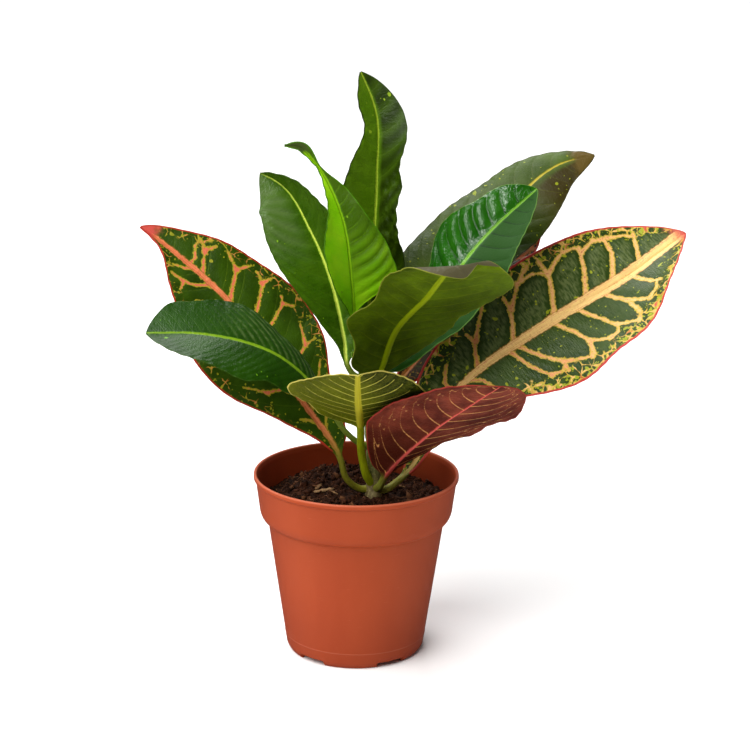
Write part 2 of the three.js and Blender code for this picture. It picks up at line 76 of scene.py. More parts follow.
# name, random seed, count, length, radius and how high the fibres rise
FIBRES = (("root_fibres", 5, 620, 7.0, 0.17, 1.6), ("fine_roots", 8, 420, 12.0, 0.09, 2.4))
# x, y, heading in degrees, length, half breadth, tilt and tone of each sliver of bark
CHIPS = (
    (-16.5, 3.0, 20, 11.0, 1.5, 1, 0.9),
    (-12.0, 0.5, -48, 8.0, 0.7, -1, 0.7),
    (-19.5, 6.0, 65, 7.0, 1.1, 1, 0.8),
    (24.0, 15.0, 150, 6.0, 1.0, 1, 0.75),
    (33.0, -10.0, 20, 5.0, 0.8, -1, 0.85),
)
CHIP_FLAT = 0.45
# dark, light and pale colour, and roughness
PEATS = {
    "peat": (0x180C06, 0x341C0F, 0x5C3822, 0.9),
    "peat_crumb": (0x1C0E08, 0x422415, 0x6C462C, 0.9),
    "root_fibre": (0x321C12, 0x583623, 0x8E6246, 0.8),
    "bark_chip": (0x5C422A, 0x7C5E3E, 0x9E805C, 0.8),
}
STEM_POINTS = ((9, 2, 68), (9, 2, 82), (9, 2, 100), (7, 2, 118), (5, 2, 134), (4.3, 1.5, 147))
STEM_RADII = (4.4, 4.6, 3.9, 3.4, 3.0, 2.6)
STEM_GRID = {"rings": 170, "around": 48}
STEM_SWELL = {"share": 0.05, "every": 11}

# ---- leaves --------------------------------------------------------------------------------------
# spine       points down the middle, from inside the stem along the stalk to the tip
# start       index of the spine point where the blade starts
# face        which way the upper face looks at the blade's base, middle and tip
# left, right half widths at the stations WIDTH_AT, seen from above with the tip ahead
# lift, curl  for left and right: degrees folded up from flat, and turned up further out to the margin
# wave        for left and right: height, number of waves and phase of the margin wave
# side_veins  spacing in mm along the midrib, forward lean and forward bow of the side veins
# quilt       for left and right: how far the blade swells between side veins, in mm
# band        half width of the pale band along the midrib at base, middle and tip
# crumple     extra folds on the right half: height, and where they start and end along the blade
# quilt_range where the quilting starts and ends along the blade
# ridge       power of the swelling between side veins; below 1.3 it is fuller
# thread      half width of a side vein in mm
# arch        share of the half width where a line joins the side veins near the margin
# stalk       radius of the stalk where it starts and where the blade starts
WIDTH_AT = (0, 0.08, 0.2, 0.35, 0.5, 0.65, 0.8, 0.93, 1)
THIRDS = (0, 0.5, 1)
LEAVES = {
    "leaf_left_large": dict(
        spine=((8, 2, 84.5), (3, 1, 84.5), (-5, -2, 91), (-8, -2, 101), (-28, 5, 130),
               (-71, 27, 181), (-112.5, 40.5, 212)),
        start=3, face=((0.2, -0.8, 0.6),) * 3, left=(5.5, 15, 29, 34, 28.5, 16.5, 3),
        right=(10, 17, 29, 34, 28, 19.5, 8.5), lift=((15, -5, 25), (15, -5, 15)),
        curl=((10, 0, 20), (10, 0, 10)), wave=((0.8, 4.5, 0.1), (0.8, 5, 0.4)), stalk=(1.7, 1.6),
        side_veins=(11, 0.55, 0.25), quilt=(0.35, 0.35), band=(1.5, 1.5, 1.3),
    ),
    "leaf_left_small": dict(
        spine=((7.5, 2, 106.5), (1, -1, 110), (-5, -4, 116), (-17, -9, 137), (-43, -17, 162),
               (-70, -22, 171), (-104, -20.5, 171.5)),
        start=3, face=((0.2, -0.5, 0.8),) * 3, left=(9, 16.5, 19.5, 25.5, 23, 18.5, 10),
        right=(7, 12, 18, 24.5, 24, 18.5, 13.5), lift=((5, 10, 25), (0, 5, 25)),
        curl=((-15, -15, -5), (-20, -15, -5)), wave=((0.6, 3, 0.2), (0.5, 3.5, 0.6)), stalk=(1.5, 1.4),
        side_veins=(4.6, 0.7, 0.3), quilt=(0.1, 0.22), band=(0.9, 0.9, 0.5), quilt_range=(0.02, 0.8),
    ),
    "leaf_upper_left": dict(
        spine=((4.5, 1.6, 143), (-1.9, 1.3, 145.4), (-4.6, 1.2, 149.3), (-6.5, 4.4, 161),
               (-11, 10, 182), (-24, 24, 213.5), (-40.5, 34, 236.5), (-50.5, 36, 241.5)),
        start=2, face=((0.2, -0.9, 0.4), (0.1, -1, 0.3), (0, -1, 0.2)),
        left=(3.5, 11, 20, 25, 25, 20, 13.5), right=(5.5, 11.5, 19.5, 25, 24.5, 17.5, 7.5),
        lift=((15, 20, 10), (10, 45, 50)), curl=((10, 10, 5), (10, 25, 30)),
        wave=((0.5, 3, 0.3), (0.4, 3.5, 0.7)), stalk=(1.5, 1.4), side_veins=(9, 0.5, 0.5),
        quilt=(0.75, 0.6), band=(1, 0.8, 0.3),
    ),
    "leaf_lime": dict(
        spine=((4.5, 1.5, 142), (2, -3.5, 148), (-1.5, -7, 171.5), (-3, -7.5, 194), (-9, -1, 229.5),
               (-22, 5, 253.2), (-29.2, 5.5, 260.2), (-36.8, 4, 261.2)),
        start=2, face=((0.4, -0.8, 0.4), (0.3, -0.8, 0.4), (0.2, -0.9, 0.4)),
        left=(4.5, 16, 20.5, 14.5, 6, 1.3, 2.6), right=(2, 19.5, 20.5, 13, 7, 1.3, 2.6),
        lift=((35, 25, 20), (10, 20, 20)), curl=((15, 15, 10), (5, 10, 10)),
        wave=((0.6, 3, 0.5), (1, 4, 0.1)), stalk=(1.4, 1.3), side_veins=(6.5, 0.3, 0.4), quilt=(0.1, 0.5),
        band=(0.9, 0.7, 0.4), quilt_range=(0.08, 0.6),
    ),
    "leaf_top": dict(
        spine=((4.5, 1.5, 139.5), (3.2, 7.4, 146), (4.2, 12, 160), (7.5, 28, 204), (9, 39, 241),
               (8, 45, 272), (0, 47, 292)),
        start=2, face=((0.1, -0.9, 0.4), (0, -0.9, 0.4), (0.1, -0.9, 0.4)),
        left=(12, 18.5, 22.5, 21.5, 16.5, 8, 8), right=(11.5, 18.5, 23.5, 22, 20, 15.5, 7.5),
        lift=((20, 25, 25), (-5, 50, -10)), curl=((10, 15, 10), (0, 25, -5)),
        wave=((0.8, 3, 0.2), (1.2, 4, 0.6)), stalk=(1.5, 1.4), side_veins=(11, 0.35, 0.3),
        quilt=(0.4, 0.5), band=(0.9, 0.9, 0.4), crumple=(1.4, 0.28, 0.66),
    ),
    "leaf_right_back": dict(
        spine=((4.5, 1.5, 141), (8.4, 5.5, 149), (19, 12, 164), (49, 33, 198), (78, 50, 224),
               (104, 61, 243), (122, 63.5, 247.5)),
        start=2, face=((-0.2, -0.8, 0.5), (-0.2, -0.8, 0.6), (-0.2, -0.8, 0.6)),
        left=(13, 21.5, 25.5, 25.5, 23, 16, 6), right=(12.5, 20, 25, 26, 25, 18, 9),
        lift=((20, -5, -5), (10, 10, 0)), curl=((-5, -15, -20), (-10, -10, -15)),
        wave=((0.6, 4, 0.3), (1, 4.5, 0.1)), stalk=(1.5, 1.4), side_veins=(11, 0.5, 0.4),
        quilt=(0.25, 0.4), band=(0.9, 1, 0.15),
    ),
    "leaf_right_quilted": dict(
        spine=((4.5, 1.2, 141), (9, 0.6, 143.5), (12.5, -1.5, 147), (36, 4, 178), (60.5, 17, 210),
               (90, 27, 236.5)),
        start=2, face=((-0.2, -0.8, 0.5), (-0.3, -0.8, 0.6), (-0.2, -0.8, 0.6)),
        left=(6, 8.5, 10, 18, 26.5, 17.5, 11), right=(6.5, 12, 20, 24, 25.5, 19, 10.5),
        lift=((-5, -15, 15), (-15, 5, 20)), curl=((0, -5, 10), (-5, 5, 15)),
        wave=((0.6, 4, 0.2), (0.5, 4, 0.5)), stalk=(1.5, 1.4), side_veins=(8.5, 0.3, 0.3),
        quilt=(1.7, 0.4), band=(1.2, 1, 0.5), ridge=0.8, thread=0.34,
    ),
    "leaf_back": dict(
        spine=((7, 2, 119), (10, 8, 124), (18, 17, 133), (37, 34, 152), (66, 57, 181),
               (88, 75, 210), (97, 83, 230)),
        start=2, face=((-0.3, -0.8, 0.5),) * 3, left=(4, 8, 13, 18, 18, 12, 5),
        right=(7, 10.5, 12, 13.5, 15.5, 13, 5.5), lift=((15, 10, 10), (-10, 5, 10)),
        curl=((10, 5, 5), (0, 5, 5)), wave=((0.6, 3, 0.2), (0.6, 3, 0.6)), stalk=(1.5, 1.4),
        side_veins=(11, 0.5, 0.3), quilt=(0.35, 0.35), band=(1.2, 1, 0.8),
    ),
    "leaf_right_large": dict(
        spine=((9.5, 1.5, 84.5), (15, 0.5, 84.5), (21, 1.5, 88.5), (53, 14, 136), (96.5, 29, 165),
               (141.5, 45.5, 189), (170.5, 57.5, 208)),
        start=2, face=((-0.3, -0.8, 0.6), (-0.3, -0.8, 0.5), (-0.4, -0.7, 0.6)),
        left=(6.5, 16.5, 26, 34, 35.5, 32, 18), right=(4, 12, 22, 36.5, 37, 33.5, 16.5),
        lift=((15, 10, 5), (25, 0, 35)), curl=((10, 10, 5), (15, 5, 20)),
        wave=((1, 5, 0.2), (1.2, 5.5, 0.6)), stalk=(1.9, 1.8), side_veins=(14, 0.5, 0.3), quilt=(0.5, 0.5),
        band=(0.8, 2.5, 4.4),
    ),
    "leaf_centre": dict(
        spine=((5, 1.5, 137), (8.5, -3, 141.5), (10.5, -5.5, 146.5), (19, -20, 174), (34, -41, 197),
               (43, -57, 213), (46, -63, 217), (50.5, -67, 212)),
        start=2, face=((-0.2, 0.8, 0.6), (0.3, 0.6, 0.8), (0.1, -0.2, 1)),
        left=(9.5, 19.5, 28, 26, 33.5, 37, 19.5), right=(16.5, 18.5, 28.5, 23.5, 26, 26.5, 17),
        lift=((5, 15, 0), (-20, -15, -5)), curl=((5, 10, 0), (-5, -5, 0)),
        wave=((0.6, 3, 0.2), (0.5, 3, 0.4)), stalk=(1.7, 1.7), side_veins=(8, 0.45, 0.2), quilt=(0.3, 0.3),
        band=(1.7, 1.7, 1.2),
    ),
    "leaf_front": dict(
        spine=((8.5, 1.5, 87.5), (5.5, -2.5, 92.5), (3, -5, 103), (2, -16, 123), (1, -50, 146),
               (1, -85, 169.5)),
        start=3, face=((0, 0.5, 0.9),) * 3, left=(13.5, 22.5, 29.5, 33.5, 29, 20.5, 11),
        right=(16.5, 23.5, 30.5, 35, 27.5, 18, 7.5), lift=((15, 5, 20), (5, 10, 15)),
        curl=((10, 5, 15), (5, 5, 10)), wave=((0.5, 3, 0.1), (0.5, 3, 0.5)), stalk=(2.1, 1.9),
        side_veins=(9, 0.35, 0.35), quilt=(0.4, 0.4), band=(2, 1.7, 1.2), thread=0.42,
    ),
    "leaf_red": dict(
        spine=((9.5, 1.5, 85), (12, -4.5, 88), (14, -8, 93.5), (34, -27.5, 122), (56, -49, 145.5),
               (68.5, -66, 159.5)),
        start=2, face=((0, 0.7, 0.7),) * 3, left=(15, 20, 27, 30.5, 35.5, 29.5, 16),
        right=(11, 21.5, 32, 34, 32.5, 25, 15), lift=((30, 10, 15), (10, -5, -5)),
        curl=((20, 10, 10), (10, 5, 5)), wave=((0.8, 4, 0.1), (0.5, 3.5, 0.4)), stalk=(1.9, 1.8),
        side_veins=(9.5, 0.35, 0.9), quilt=(0.4, 0.4), band=(1.1, 0.75, 0.4), thread=0.3, arch=0.74,
    ),
    "leaf_bud": dict(
        spine=((4.4, 1.5, 145.5), (1, 0, 148), (-1.5, -1.5, 152.5), (-2.5, -1.5, 158)),
        start=1, face=((0.5, -0.6, 0.4), (0.5, -0.6, 0.3), (0.5, -0.6, 0.2)),
        left=(1.2, 2, 2.5, 2.6, 2.2, 1.4, 0.8), right=(1.2, 2, 2.5, 2.6, 2.2, 1.4, 0.8),
        lift=((20, 20, 20),) * 2, curl=((20, 20, 20),) * 2, wave=((0, 1, 0),) * 2, stalk=(0.9, 0.8),
        side_veins=(3, 0.5, 0.2), quilt=(0.05, 0.05), band=(0.3, 0.3, 0.2),
    ),
}

# Broad coloured veins: half width in mm at its two ends, then pairs of percent of the length along the
# blade and percent of the half width across it, with left negative.
BROAD_VEINS = {
    "leaf_right_large": (
        (0.9, 0.6, 26.5, -10, 27, -35, 30, -56), (1.5, 0.7, 35, 0, 38.5, -46, 38, -66),
        (1, 0.7, 39, -46, 42.5, -68, 44.5, -80), (1.6, 0.9, 46, 0, 50.5, -48, 50.5, -70),
        (1.1, 0.9, 50.5, -48, 56, -74, 60, -88), (1.7, 1.2, 58.5, 0, 62, -39, 63.5, -62, 63, -86),
        (1.2, 1, 63.5, -62, 67.5, -76, 70, -82), (1.6, 1.2, 68, 0, 72.5, -46, 74.5, -78),
        (1.1, 1.1, 74.5, -70, 79, -80, 83, -78), (1.7, 1.3, 76, 0, 81.5, -50, 82, -80),
        (1.6, 1.1, 85, 0, 89.5, -75), (1.2, 0.6, 31, 0, 34, 30, 35.5, 75),
        (1.3, 0.7, 44, 0, 46, 45, 49, 72), (1.2, 0.9, 46, 0, 50.5, 41, 53.5, 61, 53, 76),
        (0.9, 0.8, 53.5, 61, 60, 79), (1.4, 0.9, 57, 0, 60.5, 34, 62, 58, 66.5, 75),
        (0.9, 1.1, 62, 58, 61, 78), (1.4, 0.8, 64, 0, 68, 39, 70, 66), (0.8, 0.9, 70, 62, 74.5, 80),
        (1.5, 0.9, 72, 0, 76, 39, 76, 70), (0.9, 0.9, 76, 39, 80, 69), (1.5, 0.9, 81, 0, 83.5, 49, 85, 70),
        (0.8, 0.8, 56, -74, 60, -74, 63.5, -64), (0.7, 0.8, 70, -82, 73.5, -80, 74.5, -72),
        (0.7, 0.8, 79, -80, 81.5, -76, 82, -66), (0.7, 0.7, 83, -78, 87, -76, 89, -66),
        (0.6, 0.7, 49, 72, 52, 72, 53.5, 63), (0.6, 0.7, 60, 79, 61, 70, 62, 60),
        (0.7, 0.7, 66.5, 75, 69, 74, 70, 64), (0.7, 0.7, 74.5, 80, 76, 74, 76.5, 60),
        (0.7, 0.7, 80, 69, 83, 70, 84.5, 60),
    ),
    "leaf_left_large": (
        (0.8, 0.3, 80, 0, 80, 25, 82.5, 55, 83, 85), (1.3, 0.5, 74, 0, 76.5, 21, 79, 53, 82.5, 81),
        (0.9, 0.5, 79, 53, 79, 60, 77.5, 79), (1.4, 0.4, 62, 0, 68.5, 59, 74, 81),
        (1, 0.4, 68.5, 59, 67.5, 70, 66.5, 85), (1.5, 0.3, 50, 0, 54, 23, 60.5, 70, 64, 81),
        (0.9, 0.3, 60.5, 70, 60, 88), (1.3, 0.3, 43, 0, 48, 26, 52, 68, 54, 74),
        (0.4, 0.2, 52, 68, 49.5, 80), (1.2, 0.3, 31, 0, 35.5, 46, 37, 62, 37.5, 84),
        (0.6, 0.3, 37, 62, 44.5, 73), (0.3, 0.3, 25, 30, 26.5, 71, 30.5, 81),
        (0.8, 0.3, 78, 0, 80, -20, 83.5, -50), (1.1, 0.7, 70, 0, 73.5, -30, 77, -50),
        (0.5, 0.3, 77, -50, 80, -62, 82, -75), (0.5, 0.3, 77, -50, 76, -70),
        (1, 0.5, 61, 0, 64, -20, 69.5, -50), (1, 0.8, 25, 0, 29, -22, 30.5, -50),
        (0.4, 0.2, 30.5, -50, 36.5, -72), (0.9, 0.4, 13, 0, 15.5, -20, 18, -50),
        (0.5, 0.3, 10, 0, 13, 30, 16, 50), (0.6, 0.3, 18, 0, 20, 30, 23, 45),
    ),
}
BROAD_VEINS["leaf_back"] = BROAD_VEINS["leaf_right_large"]

LEAF_MM = {"thickness": 0.45, "tip_half_width": 0.6, "rib_tip": 0.4, "groove": 0.35, "furrow": 0.1}
RIPPLE = {"height": 0.18, "per_mm": 0.9}  # fine ripple of the margin
JOIN = 0.06  # share of the blade over which the round stalk turns into it
# Rings for a mm along the blade, mm between columns, columns over the midrib and the triangle budget.
LEAF_GRID = {"per_mm": 2.0, "between": 0.5, "rib_columns": 10, "most_triangles": 185_000}
FAR = 99.0  # mm to a vein where there is none
OFF_BLADE = 20.0  # mm given to the stalk as distance from margins and veins


# ---- numbers -------------------------------------------------------------------------------------
def unit(v):
    """Vectors of length one."""
    return v / np.linalg.norm(v, axis=-1, keepdims=True)


def ease(x, low, high):
    """Smooth step from 0 at low to 1 at high."""
    s = np.clip((x - low) / (high - low), 0, 1)
    return s * s * (3 - 2 * s)


def mix(a, b, share):
    return a + (b - a) * share


def curve_through(knots, values, t):
    """Points and slopes of a smooth curve through values at rising knots: a cubic on each span. An
    inner slope is the mean of its two chords weighted by the other's length; the ends are parabolas."""
    knots = np.asarray(knots, float)
    values = np.asarray(values, float).reshape(len(knots), -1)
    span = np.diff(knots)
    chord = np.diff(values, axis=0) / span[:, None]
    slope = np.empty_like(values)
    before = span[:-1, None]
    after = span[1:, None]
    slope[1:-1] = (chord[1:] * before + chord[:-1] * after) / (before + after)
    slope[0] = 1.5 * chord[0] - 0.5 * slope[1]
    slope[-1] = 1.5 * chord[-1] - 0.5 * slope[-2]
    t = np.atleast_1d(np.asarray(t, float))
    i = np.clip(np.searchsorted(knots, t, side="right") - 1, 0, len(knots) - 2)
    a = ((t - knots[i]) / span[i])[:, None]
    h = span[i][:, None]
    point = (
        (2 * a**3 - 3 * a**2 + 1) * values[i]
        + (a**3 - 2 * a**2 + a) * h * slope[i]
        + (3 * a**2 - 2 * a**3) * values[i + 1]
        + (a**3 - a**2) * h * slope[i + 1]
    )
    rate = (
        (6 * a**2 - 6 * a) * values[i]
        + (3 * a**2 - 4 * a + 1) * h * slope[i]
        + (6 * a - 6 * a**2) * values[i + 1]
        + (3 * a**2 - 2 * a) * h * slope[i + 1]
    ) / h
    return point, rate


def chord_knots(points):
    """Running length along the straight lines between points."""
    steps = np.linalg.norm(np.diff(np.asarray(points, float), axis=0), axis=1)
    return np.concatenate([[0], np.cumsum(steps)])


def lattice_value(cell, seed):
    """A fixed number from 0 to 1 for each integer lattice cell."""
    mixed = np.sin(cell @ np.array([12.9898, 78.233, 37.719]) + seed * 4.137) * 43758.5453
    return mixed - np.floor(mixed)


def soft_noise(points, size, seed=0):
    """Value noise from -1 to 1 whose bumps are about size mm: eased blends of lattice values."""
    p = np.asarray(points, float) / size
    base = np.floor(p)
    f = p - base
    f = f * f * (3 - 2 * f)
    total = 0
    for corner in np.ndindex(2, 2, 2):
        weight = np.prod(np.where(np.array(corner) == 1, f, 1 - f), axis=-1)
        total = total + weight * lattice_value(base + corner, seed)
    return 2 * total - 1


# ---- meshes --------------------------------------------------------------------------------------
def new_object(name, data):
    """Object in the scene."""
    made = bpy.data.objects.new(name, data)
    bpy.context.scene.collection.objects.link(made)
    return made


def make_mesh(name, points, faces, material, marks=None, replaces=None):
    """One piece from points in mm, faces of one corner count or two lists of them, and named numbers
    per point. It rides on the body and takes its finish from material."""
    points = np.asarray(points, np.float32).reshape(-1, 3)
    lists = faces if isinstance(faces, list) else [faces]
    mesh = bpy.data.meshes.new(name)
    mesh.vertices.add(len(points))
    mesh.vertices.foreach_set("co", (points * MM).ravel())
    corners = np.concatenate([np.asarray(f).ravel() for f in lists])
    sizes = np.concatenate([np.full(len(f), np.asarray(f).shape[1]) for f in lists])
    mesh.loops.add(len(corners))
    mesh.loops.foreach_set("vertex_index", corners.astype(np.int32))
    mesh.polygons.add(len(sizes))
    starts = np.concatenate([[0], np.cumsum(sizes)[:-1]])
    mesh.polygons.foreach_set("loop_start", starts.astype(np.int32))
    mesh.polygons.foreach_set("loop_total", sizes.astype(np.int32))
    mesh.polygons.foreach_set("use_smooth", np.ones(len(sizes), bool))
    for mark, values in (marks or {}).items():
        flat = np.asarray(values, np.float32).reshape(len(points), -1)
        kind, key = ("FLOAT", "value") if flat.shape[1] == 1 else ("FLOAT_VECTOR", "vector")
        layer = mesh.attributes.new(mark, kind, "POINT")
        layer.data.foreach_set(key, flat.ravel())
    mesh.update(calc_edges=True)
    mesh.validate()
    mesh.materials.append(material)
    piece = new_object(name, mesh)
    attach(piece, BODY)
    if replaces:
        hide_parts(replaces)
    return piece


def ring_faces(rings, around):
    """Quads between closed rings of equal count, row after row, and a fan of triangles on a middle
    point at each end; the two middle points follow the rings in the point list."""
    i, j = np.meshgrid(np.arange(rings - 1), np.arange(around), indexing="ij")
    a = i * around + j
    b = i * around + (j + 1) % around
    quads = np.stack([a, b, b + around, a + around], -1).reshape(-1, 4)
    k = np.arange(around)
    after = (k + 1) % around
    first = np.stack([np.full(around, rings * around), after, k], -1)
    last_row = (rings - 1) * around
    last = np.stack([np.full(around, rings * around + 1), last_row + k, last_row + after], -1)
    return [quads, np.concatenate([first, last])]


def with_ends(rings):
    """Rings as one point list with the two end middles after them."""
    return np.concatenate([rings.reshape(-1, 3), rings[0].mean(0)[None], rings[-1].mean(0)[None]])


# ---- node wiring ---------------------------------------------------------------------------------
def paint(colour):
    """Display colour 0xRRGGBB as the linear colour that a shader takes."""
    c = np.array([colour >> 16, colour >> 8 & 255, colour & 255]) / 255
    linear = np.where(c <= 0.04045, c / 12.92, ((c + 0.055) / 1.055) ** 2.4)
    return (*linear.tolist(), 1.0)


class Value:
    """An output of a node. Its arithmetic adds nodes to the same tree."""

    def __init__(self, wires, socket):
        self.wires = wires
        self.socket = socket

    def __add__(self, other):
        return self.wires.math("ADD", self, other)

    def __sub__(self, other):
        return self.wires.math("SUBTRACT", self, other)

    def __mul__(self, other):
        return self.wires.math("MULTIPLY", self, other)

    def swing(self, amount):
        """A noise from 0 to 1 as a number from -amount / 2 to amount / 2."""
        return (self - 0.5) * amount

    def step(self, low, high, start=0.0, end=1.0):
        """Smooth step from start at low to end at high."""
        feeds = {"Value": self, "From Min": low, "From Max": high, "To Min": start, "To Max": end}
        return self.wires.make("MapRange", feeds, interpolation_type="SMOOTHSTEP")

    def other(self, output):
        """Another output of the same node."""
        return Value(self.wires, self.socket.node.outputs[output])


class Wires:
    """Makes and joins the nodes of one tree. What goes into a node is a Value or a constant."""

    def __init__(self, tree):
        self.tree = tree

    def feed(self, socket, item):
        if isinstance(item, Value):
            self.tree.links.new(item.socket, socket)
        else:
            socket.default_value = item

    def make(self, kind, feeds, output=0, **settings):
        """One output of a new node. feeds gives what goes into its inputs, by name or number."""
        node = self.tree.nodes.new("ShaderNode" + kind)
        for key, item in settings.items():
            setattr(node, key, item)
        for key, item in feeds.items():
            self.feed(node.inputs[key], item)
        return Value(self, node.outputs[output])

    def math(self, operation, *items):
        return self.make("Math", dict(enumerate(items)), operation=operation)

    def blend(self, share, a, b):
        return self.make("Mix", {"Factor": share, 6: a, 7: b}, 2, data_type="RGBA")

    def mark(self, name, output="Fac"):
        return self.make("Attribute", {}, output, attribute_name=name)

    def place(self):
        return self.make("TexCoord", {}, "Object")

    def height(self, place):
        return self.make("SeparateXYZ", {0: place}, "Z")

    def noise(self, vector, scale, detail=2.0, roughness=0.5):
        feeds = {"Vector": vector, "Scale": scale, "Detail": detail, "Roughness": roughness}
        return self.make("TexNoise", feeds, "Fac")

    def cells(self, vector, scale, feature="F1"):
        return self.make("TexVoronoi", {"Vector": vector, "Scale": scale}, "Distance", feature=feature)

    def shifted(self, vector, scale, amount):
        """The vector moved about by a coloured noise, up to about half of amount."""
        noise = self.make("TexNoise", {"Vector": vector, "Scale": scale}, "Color")
        feeds = {0: noise, 1: (amount, amount, 0.0), 2: vector}
        return self.make("VectorMath", feeds, operation="MULTIPLY_ADD")

    def stretch(self, vector, x, y, z):
        return self.make("VectorMath", {0: vector, 1: (x, y, z)}, operation="MULTIPLY")

    def surface(self, colour, roughness, height, strength, depth, gloss=0.5):
        """Feeds the surface shader and returns it with its normal. depth of the relief is in mm."""
        shader = self.tree.nodes["Principled BSDF"]
        normal = self.make("Bump", {"Strength": strength, "Distance": depth * MM, "Height": height})
        for key, item in (("Base Color", colour), ("Roughness", roughness), ("Normal", normal)):
            self.feed(shader.inputs[key], item)
        shader.inputs["Specular IOR Level"].default_value = gloss
        return Value(self, shader.outputs["BSDF"]), normal


def new_material(name):
    """Material and its wires."""
    material = bpy.data.materials.new(name)
    material.use_nodes = True
    return material, Wires(material.node_tree)


# ---- leaf looks ----------------------------------------------------------------------------------
# Inputs of leaf_pattern. Second takes over where the tint mark is high; shares go from 0 to 1; widths
# are in mm and tip_start is the place along the blade. heart is the colour of a painted sheen in the
# cells.
LEAF_COLOURS = dict(
    dark=0x1E3704, light=0x3C5F0A, second=0x3C5F0A, heart=0x6C7844, thread=0x5A7D1E, vein=0x50781E,
    vein_edge=0x50781E, vein_fleck=0x50781E, midrib=0x96AA32, midrib_edge=0x5A7814, margin=0x5A6E28,
    tip=0x3C5A14, speck=0x96B428, under=0x5A6928, under_dark=0x3C5019, under_vein=0xA0AA50,
    under_midrib=0xA0AA3C, stalk=0x6E7D28,
)
LEAF_NUMBERS = dict(
    fringe=1, wrinkle=0.4, web_share=0.2, blush=0, heart_share=0, thread_share=0.3, vein_share=0,
    net_share=0, under_vein_share=0.5, speck_share=0.1, margin_width=0.5, tip_start=1.1, roughness=0.35,
    tint_roughness=0,
)

